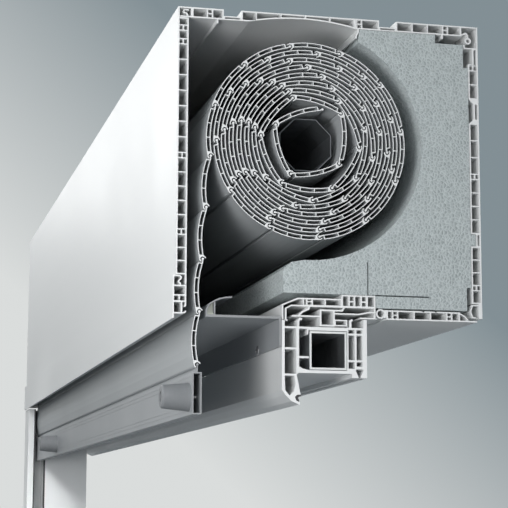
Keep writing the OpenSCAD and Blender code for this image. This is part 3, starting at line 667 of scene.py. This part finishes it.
@dataclass(frozen=True)
class ZincFinish(Finish):
    """Zinc-coated steel with its crystal flowers and sheared edges; the edges' own colour is painted: a
    pale painted highlight by default, painted shade where it is set dark.
    """

    metallic: float = 1.0
    cloud: float = 30.0
    worn: Span = (0.12, -0.06)
    pale: Colour = (0.66, 0.68, 0.70)
    dull: Colour = (0.46, 0.48, 0.50)
    flowers: float = 110.0
    feather: float = 1.4
    flower_depth: float = 0.03 * MM
    # Pale colour of the sheared ends: a painted highlight.
    edge: Colour = (0.90, 0.91, 0.90)
    edge_metallic: float = 0.3
    edge_roughness: float = 0.6
    arcs: float = 900.0
    arc_depth: float = 0.02 * MM

    def dress(self, wiring: Wiring, shader: Node, shelf: EffectShelf) -> None:
        """Wires flowers, dull patches and sheared ends, whose colour is painted light and shade.

        Args:
            wiring: The material's wiring.
            shader: Its shader node.
            shelf: The shared effects.
        """
        cells = shelf.use(wiring, Effect.CELLS, Scale=self.flowers, Warp=self.feather)
        clouds = shelf.use(wiring, Effect.CLOUDS, Scale=self.cloud)
        saw = shelf.use(wiring, Effect.SAW_CUT, Arcs=self.arcs)
        tone = wiring.average(cells["Tone"], clouds["Tone"])
        face = wiring.mix(tone, tint(self.dull), tint(self.pale))
        rough = wiring.fade(saw["Mask"], self.shine(wiring, tone), self.edge_roughness)
        sheared = wiring.fade(saw["Mask"], self.metallic, self.edge_metallic)
        # Sheared ends take the edge colour: painted highlight in zinc_steel, painted shade in the
        # tube's zinc.
        wiring.feed(shader.inputs["Base Color"], wiring.mix(saw["Mask"], face, tint(self.edge)))
        wiring.feed(shader.inputs["Roughness"], rough)
        wiring.feed(shader.inputs["Metallic"], sheared)
        layers = ((cells["Dome"], self.flower_depth), (saw["Height"], self.arc_depth))
        self.relief(wiring, shader, layers)


@dataclass(frozen=True)
class MouldedFinish(Finish):
    """Moulded rubber or plastic with a fine grain and rubbed patches."""

    cloud: float = 40.0
    worn: Span = (0.06, -0.08)
    body: Colour = (0.05, 0.05, 0.055)
    rubbed: Colour = (0.09, 0.09, 0.095)
    grain: float = 1500.0
    grain_depth: float = 0.05 * MM

    def dress(self, wiring: Wiring, shader: Node, shelf: EffectShelf) -> None:
        """Wires grain and rubbed patches.

        Args:
            wiring: The material's wiring.
            shader: Its shader node.
            shelf: The shared effects.
        """
        grain = shelf.use(wiring, Effect.GRAIN, Scale=self.grain)
        clouds = shelf.use(wiring, Effect.CLOUDS, Scale=self.cloud)
        tone = wiring.math("MULTIPLY", grain["Tone"], clouds["Tone"])
        wiring.feed(shader.inputs["Base Color"], wiring.mix(tone, tint(self.body), tint(self.rubbed)))
        wiring.feed(shader.inputs["Roughness"], self.shine(wiring, clouds["Tone"]))
        self.relief(wiring, shader, ((grain["Height"], self.grain_depth),))


@dataclass(frozen=True)
class MetalFinish(Finish):
    """Plated or painted turned metal with a fine tooth and dull spots."""

    metallic: float = 1.0
    cloud: float = 160.0
    worn: Span = (0.12, -0.05)
    bright: Colour = (0.70, 0.70, 0.70)
    dull: Colour = (0.42, 0.42, 0.43)
    marks: float = 2600.0
    mark_depth: float = 0.01 * MM

    def dress(self, wiring: Wiring, shader: Node, shelf: EffectShelf) -> None:
        """Wires the tooth and the dull spots.

        Args:
            wiring: The material's wiring.
            shader: Its shader node.
            shelf: The shared effects.
        """
        clouds = shelf.use(wiring, Effect.CLOUDS, Scale=self.cloud)
        grain = shelf.use(wiring, Effect.GRAIN, Scale=self.marks)
        face = wiring.mix(clouds["Tone"], tint(self.dull), tint(self.bright))
        wiring.feed(shader.inputs["Base Color"], face)
        wiring.feed(shader.inputs["Roughness"], self.shine(wiring, clouds["Tone"]))
        self.relief(wiring, shader, ((grain["Height"], self.mark_depth),))


class Slot(Enum):
    """The part's finishes: the record's material slots, and a darker zinc for the tube, which is
    painted shade.
    """

    PVC_WHITE = ExtrudedFinish("pvc_white", roughness=0.36)
    # Grey slats with near-white cut faces: the white is a painted highlight.
    SLAT_PVC = ExtrudedFinish(
        "slat_pvc", roughness=0.44, skin=(0.42, 0.44, 0.45), skin_shade=(0.38, 0.40, 0.41),
        cut=(0.90, 0.91, 0.91), lines=900.0, line_depth=0.03 * MM)
    ALU_GREY = ExtrudedFinish(
        "alu_grey", roughness=0.42, skin=(0.35, 0.365, 0.38), skin_shade=(0.31, 0.325, 0.34),
        cut=(0.34, 0.35, 0.36), lines=800.0, line_depth=0.03 * MM)
    FOAM_GREY = FoamFinish("foam_grey", roughness=0.85, specular=0.25)
    ZINC_STEEL = ZincFinish("zinc_steel", roughness=0.38)
    # The tube's zinc is a darker copy with dark cut ends: painted shade inside the roll.
    TUBE_STEEL_SHADED = ZincFinish(
        "tube_steel_shaded", roughness=0.42, pale=(0.42, 0.44, 0.46), dull=(0.30, 0.32, 0.34),
        edge=(0.16, 0.17, 0.18))
    SCREW_STEEL = MetalFinish("screw_steel", roughness=0.32)
    SEAL_RUBBER = MouldedFinish("seal_rubber", roughness=0.68, specular=0.35)
    BUFFER_GREY = MouldedFinish(
        "buffer_grey", roughness=0.55, specular=0.4, body=(0.20, 0.21, 0.22), rubbed=(0.30, 0.31, 0.32),
        grain=900.0, grain_depth=0.06 * MM)
    PILE_GREY = MouldedFinish(
        "pile_grey", roughness=0.9, specular=0.2, body=(0.40, 0.42, 0.37), rubbed=(0.58, 0.60, 0.54),
        grain=3200.0)
    DRIVE_PLASTIC = MouldedFinish("drive_plastic", roughness=0.5)
    DRIVE_METAL = MetalFinish(
        "drive_metal", roughness=0.42, bright=(0.30, 0.31, 0.33), dull=(0.20, 0.21, 0.22), marks=900.0)


Dressing = dict[Slot, tuple[str, ...]]
Detail = tuple[Piece, Slot]


class FinishShelf:
    """Makes each finish's material once."""

    def __init__(self) -> None:
        """Starts with the shared effects and no material."""
        self._effects = EffectShelf()
        self._made: dict[Slot, Material] = {}

    def dress(self, piece: Piece, slot: Slot) -> None:
        """Gives a piece one slot's finish, whose material is made at its first use.

        Args:
            piece: The object to dress.
            slot: Its material slot.
        """
        if slot not in self._made:
            self._made[slot] = slot.value.build(self._effects)
        piece.data.materials.clear()
        piece.data.materials.append(self._made[slot])


# Mesh helpers


def new_piece(name: str, mesh: Mesh) -> Piece:
    """Turns a built mesh into a flat-shaded object of the scene.

    Args:
        name: The piece's name.
        mesh: The built mesh, which is freed.

    Returns:
        The new object.
    """
    data = bpy.data.meshes.new(name)
    mesh.to_mesh(data)
    mesh.free()
    piece = bpy.data.objects.new(name, data)
    bpy.context.scene.collection.objects.link(piece)
    return piece


def join_rings(mesh: Mesh, first: Ring, second: Ring, flip: bool = False) -> None:
    """Joins two rings of points by a band of faces.

    Args:
        mesh: The mesh that holds the points.
        first: One ring.
        second: The other ring, with as many points.
        flip: Whether the faces look to the other side.
    """
    for k in range(len(first)):
        j = (k + 1) % len(first)
        sides = (first[j], second[j], second[k])
        mesh.faces.new((first[k], *(reversed(sides) if flip else sides)))


def along_box(ends: tuple[Vector, Vector]) -> Place:
    """Ranks a solid by its lowest corner: along the box first, then up, then across."""
    return round(ends[0].y, PLACE_DIGITS), round(ends[0].z, PLACE_DIGITS), ends[0].x


def islands(piece: Piece) -> list[tuple[Vector, Vector]]:
    """Finds the separate solids of a CAD node.

    Args:
        piece: The node's object.

    Returns:
        The lowest and highest corner of each solid, ordered along the box.
    """
    mesh = bmesh.new()
    mesh.from_mesh(piece.data)
    bmesh.ops.remove_doubles(mesh, verts=mesh.verts, dist=WELD)
    seen: set[bmesh.types.BMVert] = set()
    found: list[tuple[Vector, Vector]] = []
    for start in mesh.verts:
        if start in seen:
            continue
        seen.add(start)
        queue = [start]
        group: list[Vector] = []
        while queue:
            vert = queue.pop()
            group.append(vert.co.copy())
            for edge in vert.link_edges:
                other = edge.other_vert(vert)
                if other not in seen:
                    seen.add(other)
                    queue.append(other)
        low = Vector([min(point[axis] for point in group) for axis in range(3)])
        high = Vector([max(point[axis] for point in group) for axis in range(3)])
        found.append((low, high))
    mesh.free()
    return sorted(found, key=along_box)


# Sub-assemblies


@dataclass
class SubAssembly:
    """Pieces of the frame that belong together, and what is added to them."""

    body: str
    finishes: Dressing = field(default_factory=dict)
    screws: Optional[ScrewRow] = None

    def build(self, nodes: Pieces, shelf: FinishShelf) -> None:
        """Dresses the CAD pieces and then adds the details.

        Args:
            nodes: The frame's objects by node name.
            shelf: The finishes.
        """
        for slot, names in self.finishes.items():
            for name in names:
                shelf.dress(nodes[name], slot)
                LOG.info("%s dressed as %s", name, slot.name.lower())
        for piece, slot in self.details(nodes):
            shelf.dress(piece, slot)
            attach(piece, self.body)
            LOG.info("%s added to %s", piece.name, self.body)

    def details(self, nodes: Pieces) -> list[Detail]:
        """Makes the pieces that stand in for plain CAD ones, such as a row of screws.

        Args:
            nodes: The frame's objects by node name.

        Returns:
            Each new piece with its slot.
        """
        if self.screws is None:
            return []
        return [(self.screws.make(nodes), Slot.SCREW_STEEL)]


@dataclass(frozen=True)
class CrossScrew:
    """Domed screw with a cross recess in its head and a thread on its shank.

    The rim is how far down the dome ends, as a share of the head's height. The root is the thread's
    foot, as a share of the shank's radius. The dome's rings start at the core and span the reach, as
    shares of the head's radius. The recess narrows outwards from its flare by the taper.
    """

    head_r: float = 3.6 * MM
    head_h: float = 1.6 * MM
    rim: float = 0.62
    shank_r: float = 1.9 * MM
    pitch: float = 1.4 * MM
    root: float = 0.82
    steps_per_pitch: int = 4
    crown_rings: int = 10
    core: float = 0.03
    reach: float = 0.92
    recess_r: float = 2.1 * MM
    recess_w: float = 0.42 * MM
    recess_d: float = 1.2 * MM
    flare: float = 1.25
    taper: float = 0.35
    sides: int = 48

    def add_to(self, mesh: Mesh, at: Matrix, length: float) -> None:
        """Adds one screw, its head at the origin and its shank along +z.

        Args:
            mesh: The mesh to add to.
            at: Where the screw stands.
            length: Length of head and shank.
        """
        rings = [self._crown(k / (self.crown_rings - 1)) for k in range(self.crown_rings)]
        rings += [self._ring(self.head_r, self.head_h * self.rim), self._ring(self.head_r, self.head_h)]
        shank = length - self.head_h
        steps = max(self.steps_per_pitch, int(shank / (self.pitch / self.steps_per_pitch)))
        for k in range(steps + 1):
            crest = k % self.steps_per_pitch == 0
            radius = self.shank_r * (1.0 if crest else self.root)
            rings.append(self._ring(radius, self.head_h + shank * k / steps))
        loops = [[mesh.verts.new(at @ point) for point in ring] for ring in rings]
        for first, second in zip(loops, loops[1:]):
            join_rings(mesh, first, second)
        mesh.faces.new(list(reversed(loops[0])))
        mesh.faces.new(loops[-1])

    def _ring(self, radius: float, z: float) -> list[Vector]:
        """Gives one plain ring of points.

        Args:
            radius: The ring's radius.
            z: Its height.

        Returns:
            The ring's points.
        """
        turn = 2 * math.pi / self.sides
        angles = [k * turn for k in range(self.sides)]
        return [Vector((radius * math.cos(a), radius * math.sin(a), z)) for a in angles]

    def _crown(self, share: float) -> list[Vector]:
        """Gives one ring of the head's face, sunk where it crosses the recess.

        Args:
            share: Place of the ring between the middle and the rim.

        Returns:
            The ring's points.
        """
        radius = self.head_r * (self.core + self.reach * share)
        points = self._ring(radius, self.head_h * self.rim * share**3)
        if radius < self.recess_r:
            half = self.recess_w * (self.flare - self.taper * share)
            for point in points:
                if min(abs(point.x), abs(point.y)) < half:
                    point.z += self.recess_d * math.sqrt(1 - radius / self.recess_r)
        return points


@dataclass
class ScrewRow:
    """Screws that stand where one CAD node has them, driven along one axis.

    The first is turned by its own angle and each later one by the next angle more, in degrees.
    """

    node: str
    drive: Place
    screw: CrossScrew = field(default_factory=CrossScrew)
    first_turn: float = 17.0
    next_turn: float = 31.0

    def make(self, nodes: Pieces) -> Piece:
        """Builds the row and lets it stand for its node.

        Args:
            nodes: The frame's objects by node name.

        Returns:
            The new piece.
        """
        mesh = bmesh.new()
        drive = Vector(self.drive)
        tilt = drive.to_track_quat("Z", "Y").to_matrix().to_4x4()
        for place, (low, high) in enumerate(islands(nodes[self.node])):
            length = abs((high - low).dot(drive))
            start = (low + high) / 2 - drive * (length / 2)
            spin = Matrix.Rotation(math.radians(self.first_turn + self.next_turn * place), 4, "Z")
            self.screw.add_to(mesh, Matrix.Translation(start) @ tilt @ spin, length)
        bmesh.ops.recalc_face_normals(mesh, faces=mesh.faces)
        piece = new_piece(f"{self.node}_crossed", mesh)
        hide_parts(self.node)
        return piece


@dataclass
class InletPile:
    """Brush of upright fibres in the soffit's lip, on a woven backing.

    The fibres rise from the street to the room under the lip's curve. Their street height and slope are
    shares of the node's height, and each is cut to between the shortest share and all of its own.
    """

    node: str = "soffit_seal"
    backing: float = 0.9 * MM
    ribs: int = 260
    rib_low: float = 0.85
    fibre_r: float = 0.19 * MM
    tip_share: float = 0.6
    row_pitch: float = 1.1 * MM
    rows_across: int = 7
    street_height: float = 0.42
    slope: float = 0.75
    shortest: float = 0.86
    lean: float = 0.35 * MM
    lean_across: float = 0.2
    seed: int = 7

    def make(self) -> Piece:
        """Builds the pile in its node's space.

        Returns:
            The new piece, which stands for the node.
        """
        low, high = (Vector(corner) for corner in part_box(self.node))
        luck = random.Random(self.seed)
        mesh = bmesh.new()
        self._backing(mesh, low, high)
        span = high - low
        margin = 2 * self.fibre_r
        rows = int(span.y / self.row_pitch)
        for row in range(rows):
            y = low.y + margin + row * (span.y - 2 * margin) / (rows - 1)
            for k in range(self.rows_across):
                share = (k + 0.5) / self.rows_across
                x = low.x + (span.x - margin) * share
                reach = min(1.0, self.street_height + self.slope * share)
                top = low.z + span.z * reach * luck.uniform(self.shortest, 1.0)
                self._fibre(mesh, Vector((x, y, low.z + self.backing / 2)), top, luck)
        piece = new_piece("inlet_pile", mesh)
        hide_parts(self.node)
        return piece

    def _backing(self, mesh: Mesh, low: Vector, high: Vector) -> None:
        """Adds the backing strip, ribbed along its length like a weave.

        Args:
            mesh: The mesh to add to.
            low: The node's lowest corner.
            high: The node's highest corner.
        """
        loops: list[Ring] = []
        for k in range(self.ribs + 1):
            y = low.y + (high.y - low.y) * k / self.ribs
            top = low.z + self.backing * (self.rib_low if k % 2 else 1.0)
            ring = ((low.x, low.z), (high.x, low.z), (high.x, top), (low.x, top))
            loops.append([mesh.verts.new((x, y, z)) for x, z in ring])
        for first, second in zip(loops, loops[1:]):
            join_rings(mesh, first, second, flip=True)
        mesh.faces.new(loops[0])
        mesh.faces.new(list(reversed(loops[-1])))

    def _fibre(self, mesh: Mesh, foot: Vector, top: float, luck: random.Random) -> None:
        """Adds one tapered tuft.

        Args:
            mesh: The mesh to add to.
            foot: Where it starts.
            top: Height of its tip.
            luck: Source of its small lean.
        """
        across = luck.uniform(-self.lean_across, self.lean_across) * self.lean
        along = luck.uniform(-1, 1) * self.lean
        tip = Vector((foot.x + across, foot.y + along, top))
        ways = ((1, 1), (-1, 1), (-1, -1), (1, -1))
        square = [Vector((dx, dy, 0)) * self.fibre_r for dx, dy in ways]
        base = [mesh.verts.new(foot + corner) for corner in square]
        ends = [mesh.verts.new(tip + corner * self.tip_share) for corner in square]
        join_rings(mesh, base, ends)
        mesh.faces.new(ends)


@dataclass
class ShutterBox(SubAssembly):
    """Hollow panels around the roll, the foam liner and the end cap."""

    body: str = "box"
    finishes: Dressing = field(default_factory=lambda: {
        Slot.PVC_WHITE: (
            "upper_fascia_panel", "lower_fascia_profile", "top_panel", "rear_panel", "far_end_cap"),
        Slot.ALU_GREY: ("soffit_profile",),
        Slot.FOAM_GREY: ("insulation_block",),
    })
    screws: Optional[ScrewRow] = field(default_factory=lambda: ScrewRow("soffit_screws", (1, 0, 0)))
    pile: InletPile = field(default_factory=InletPile)

    def details(self, nodes: Pieces) -> list[Detail]:
        """Makes the soffit's screws and the inlet's pile.

        Args:
            nodes: The frame's objects by node name.

        Returns:
            Each new piece with its slot.
        """
        rows = super().details(nodes)
        return [(self.pile.make(), Slot.PILE_GREY), *rows]


@dataclass
class ServiceCover(SubAssembly):
    """Cover under the box that swings down."""

    body: str = "cover"
    finishes: Dressing = field(default_factory=lambda: {Slot.PVC_WHITE: ("inspection_cover",)})


@dataclass
class WindowHead(SubAssembly):
    """Adapter, frame head, its steel and its gasket."""

    body: str = "box"
    finishes: Dressing = field(default_factory=lambda: {
        Slot.PVC_WHITE: ("frame_adapter", "frame_head"),
        Slot.ZINC_STEEL: ("frame_head_steel",),
        Slot.SEAL_RUBBER: ("rebate_gasket",),
    })


@dataclass
class GuideRail(SubAssembly):
    """Rail at the far end with its two seals."""

    body: str = "box"
    finishes: Dressing = field(default_factory=lambda: {
        Slot.PVC_WHITE: ("guide_rail",),
        Slot.SEAL_RUBBER: ("rail_street_seal", "rail_room_seal"),
    })
    screws: Optional[ScrewRow] = field(default_factory=lambda: ScrewRow("rail_screws", (1, 0, 0)))


@dataclass
class DriveMount(SubAssembly):
    """Fixed half of the drive: bracket, head and body."""

    body: str = "box"
    finishes: Dressing = field(default_factory=lambda: {
        Slot.ZINC_STEEL: ("drive_bracket",),
        Slot.DRIVE_PLASTIC: ("drive_head",),
        Slot.DRIVE_METAL: ("drive_body",),
    })
    screws: Optional[ScrewRow] = field(default_factory=lambda: ScrewRow("bracket_screws", (0, -1, 0)))


@dataclass
class Roller(SubAssembly):
    """Tube with the turning half of the drive, and the slats wound on it."""

    body: str = "roll"
    turns: int = 8
    finishes: Dressing = field(default_factory=lambda: {
        Slot.TUBE_STEEL_SHADED: ("roller_tube", "roller_tube_far"),
        Slot.ZINC_STEEL: ("curtain_hangers", "drive_shaft"),
        Slot.DRIVE_PLASTIC: ("drive_wheel", "drive_crown"),
        Slot.SCREW_STEEL: ("drive_wheel_screws",),
    })

    def __post_init__(self) -> None:
        """Adds the wound turns to the pieces to dress."""
        self.finishes[Slot.SLAT_PVC] = tuple(f"wound_slats_turn_{k + 1}" for k in range(self.turns))


@dataclass
class TailSlat(SubAssembly):
    """Slat that leaves the roll."""

    body: str = "tail"
    finishes: Dressing = field(default_factory=lambda: {Slot.SLAT_PVC: ("tail_slat",)})


@dataclass
class Curtain(SubAssembly):
    """Hanging slats, bottom bar and stop buffers."""

    body: str = "curtain"
    finishes: Dressing = field(default_factory=lambda: {
        Slot.SLAT_PVC: ("hanging_slat_1", "hanging_slat_2", "hanging_slat_3"),
        Slot.ALU_GREY: ("bottom_bar",),
        Slot.PVC_WHITE: ("bottom_bar_plug",),
        Slot.BUFFER_GREY: ("stop_buffer_near", "stop_buffer_far"),
    })
    screws: Optional[ScrewRow] = field(default_factory=lambda: ScrewRow("buffer_screws", (1, 0, 0)))


# Studio


@dataclass(frozen=True)
class SoftLamp:
    """One soft panel of light aimed at a point of the part, its spread in degrees."""

    name: str
    at: Place
    aim: Place
    size: Span
    watts: float
    spread: float = 180.0

    def hang(self) -> None:
        """Puts the lamp in the scene, unseen by the camera."""
        data = bpy.data.lights.new(self.name, "AREA")
        data.shape = "RECTANGLE"
        data.size, data.size_y = self.size
        data.energy = self.watts
        data.spread = math.radians(self.spread)
        lamp = bpy.data.objects.new(self.name, data)
        lamp.location = self.at
        lamp.visible_camera = False
        lamp.rotation_euler = (Vector(self.aim) - Vector(self.at)).to_track_quat("-Z", "Y").to_euler()
        bpy.context.scene.collection.objects.link(lamp)


@dataclass
class Studio:
    """Pale floor, backdrop with painted shade, soft lamps and the camera at the photograph's angle."""

    backdrop: Colour = (0.70, 0.72, 0.715)
    # Dark end of the backdrop's grade: painted shade.
    backdrop_shade: Colour = (0.225, 0.275, 0.30)
    backdrop_slope: Place = (3.54, -1.47, 4.04)
    backdrop_span: Span = (-0.62, 0.38)
    ambient: Colour = (0.84, 0.94, 1.0)
    ambient_strength: float = 0.20
    floor: Colour = (0.66, 0.69, 0.70)
    floor_drift: float = 1.04
    floor_cloud: float = 3.0
    floor_glow: float = 0.3
    floor_half: float = 6.0
    floor_cells: int = 8
    bounce: Colour = (0.14, 0.155, 0.17)
    drop: float = 0.45
    eye: Place = (-0.320369, -1.674974, -0.357729)
    ahead: Place = (0.22352846, 0.96248438, 0.15381432)
    right: Place = (0.97396348, -0.22668424, 0.00306529)
    lens: float = 118.93
    sensor: float = 36.0
    clip: Span = (0.05, 50.0)
    lamps: tuple[SoftLamp, ...] = (
        SoftLamp("street_strip", (-0.40, 0.30, 0.16), (-0.11, 0.30, -0.11), (1.9, 0.15), 2.7),
        SoftLamp("front_panel", (-0.62, -1.70, -0.08), (0.0, -0.45, -0.12), (1.2, 0.8), 9.0),
        SoftLamp("low_front", (-0.60, -1.05, -0.34), (-0.02, -0.5, -0.25), (0.4, 0.3), 3.2),
        SoftLamp("room_panel", (1.8, 0.6, 0.15), (0.0, 0.0, -0.1), (1.4, 1.4), 25.0),
        SoftLamp("ceiling_panel", (0.70, 0.10, 1.50), (0.0, 0.0, 0.0), (1.0, 1.0), 9.0),
        SoftLamp("rail_panel", (-0.42, -0.10, -0.065), (-0.13, 0.50, -0.43), (0.16, 0.22), 0.12, 22.0),
    )

    def build(self) -> None:
        """Puts everything in place."""
        self._camera()
        for lamp in self.lamps:
            lamp.hang()
        self._world()
        self._floor()
        bpy.context.scene.view_settings.view_transform = "Standard"
        LOG.info("studio built with %d lamps", len(self.lamps))

    def _camera(self) -> None:
        """Places the camera."""
        data = bpy.data.cameras.new("photo_angle")
        data.lens = self.lens
        data.sensor_width = self.sensor
        data.clip_start, data.clip_end = self.clip
        camera = bpy.data.objects.new("photo_angle", data)
        ahead = Vector(self.ahead).normalized()
        right = Vector(self.right).normalized()
        up = right.cross(ahead).normalized()
        turn = Matrix((right, up, -ahead)).transposed().to_4x4()
        camera.matrix_world = Matrix.Translation(self.eye) @ turn
        bpy.context.scene.collection.objects.link(camera)
        bpy.context.scene.camera = camera

    def _world(self) -> None:
        """Lights the part softly all round and shows the backdrop's colour behind it, with painted
        shade darkening it towards one side.
        """
        world = bpy.data.worlds.new("studio")
        w = Wiring.cleared(world)
        light = w.add("ShaderNodeBackground")
        light.inputs["Color"].default_value = tint(self.ambient)
        light.inputs["Strength"].default_value = self.ambient_strength
        slope = w.add("ShaderNodeVectorMath", operation="DOT_PRODUCT")
        w.feed(slope.inputs[0], w.add("ShaderNodeTexCoord").outputs["Generated"])
        slope.inputs[1].default_value = self.backdrop_slope
        # The backdrop grades from pale to dark along one direction: painted shade.
        depth = w.remap(slope.outputs["Value"], *self.backdrop_span)
        seen = w.add("ShaderNodeBackground")
        w.feed(seen.inputs["Color"], w.mix(depth, tint(self.backdrop), tint(self.backdrop_shade)))
        shown = w.shown(w.add("ShaderNodeLightPath"))
        out = w.add("ShaderNodeOutputWorld")
        w.feed(out.inputs["Surface"], w.mix_shaders(shown, light, seen))
        bpy.context.scene.world = world

    def _floor(self) -> None:
        """Lays a pale floor under the rail that is clear from below."""
        low, _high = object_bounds()
        mesh = bmesh.new()
        cells = self.floor_cells
        bmesh.ops.create_grid(mesh, x_segments=cells, y_segments=cells, size=self.floor_half)
        floor = new_piece("floor", mesh)
        floor.location.z = low[2] - self.drop
        floor.data.materials.append(self._floor_paint())
        floor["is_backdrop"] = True

    def _floor_paint(self) -> Material:
        """Makes the floor's paint: pale where it is seen, darker in the light it throws back.

        Returns:
            The new material.
        """
        material = bpy.data.materials.new("floor_pale")
        w = Wiring.cleared(material)
        rays = w.add("ShaderNodeLightPath")
        lighter = tuple(channel * self.floor_drift for channel in self.floor)
        tone = w.noise(w.place(), self.floor_cloud, detail=3.0)
        pale = w.mix(tone, tint(self.floor), tint(lighter))
        paint = w.add("ShaderNodeBsdfDiffuse")
        w.feed(paint.inputs["Color"], w.mix(w.shown(rays), tint(self.bounce), pale))
        glow = w.add("ShaderNodeEmission")
        w.feed(glow.inputs["Color"], tint(self.floor))
        strength = w.math("MULTIPLY", rays.outputs["Is Camera Ray"], self.floor_glow)
        w.feed(glow.inputs["Strength"], strength)
        lit = w.add("ShaderNodeAddShader")
        w.feed(lit.inputs[0], paint.outputs[0])
        w.feed(lit.inputs[1], glow.outputs[0])
        clear = w.add("ShaderNodeBsdfTransparent")
        behind = w.add("ShaderNodeNewGeometry").outputs["Backfacing"]
        out = w.add("ShaderNodeOutputMaterial")
        w.feed(out.inputs["Surface"], w.mix_shaders(behind, lit, clear))
        return material


# The whole


def main() -> None:
    """Loads the frame, dresses every sub-assembly and adds the studio."""
    logging.basicConfig(level=logging.INFO, format="%(name)s: %(message)s")
    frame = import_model()
    shelf = FinishShelf()
    parts: tuple[SubAssembly, ...] = (
        ShutterBox(), ServiceCover(), WindowHead(), GuideRail(),
        DriveMount(), Roller(), TailSlat(), Curtain(),
    )
    for part in parts:
        part.build(frame["nodes"], shelf)
    Studio().build()


if __name__ == "__main__":
    main()
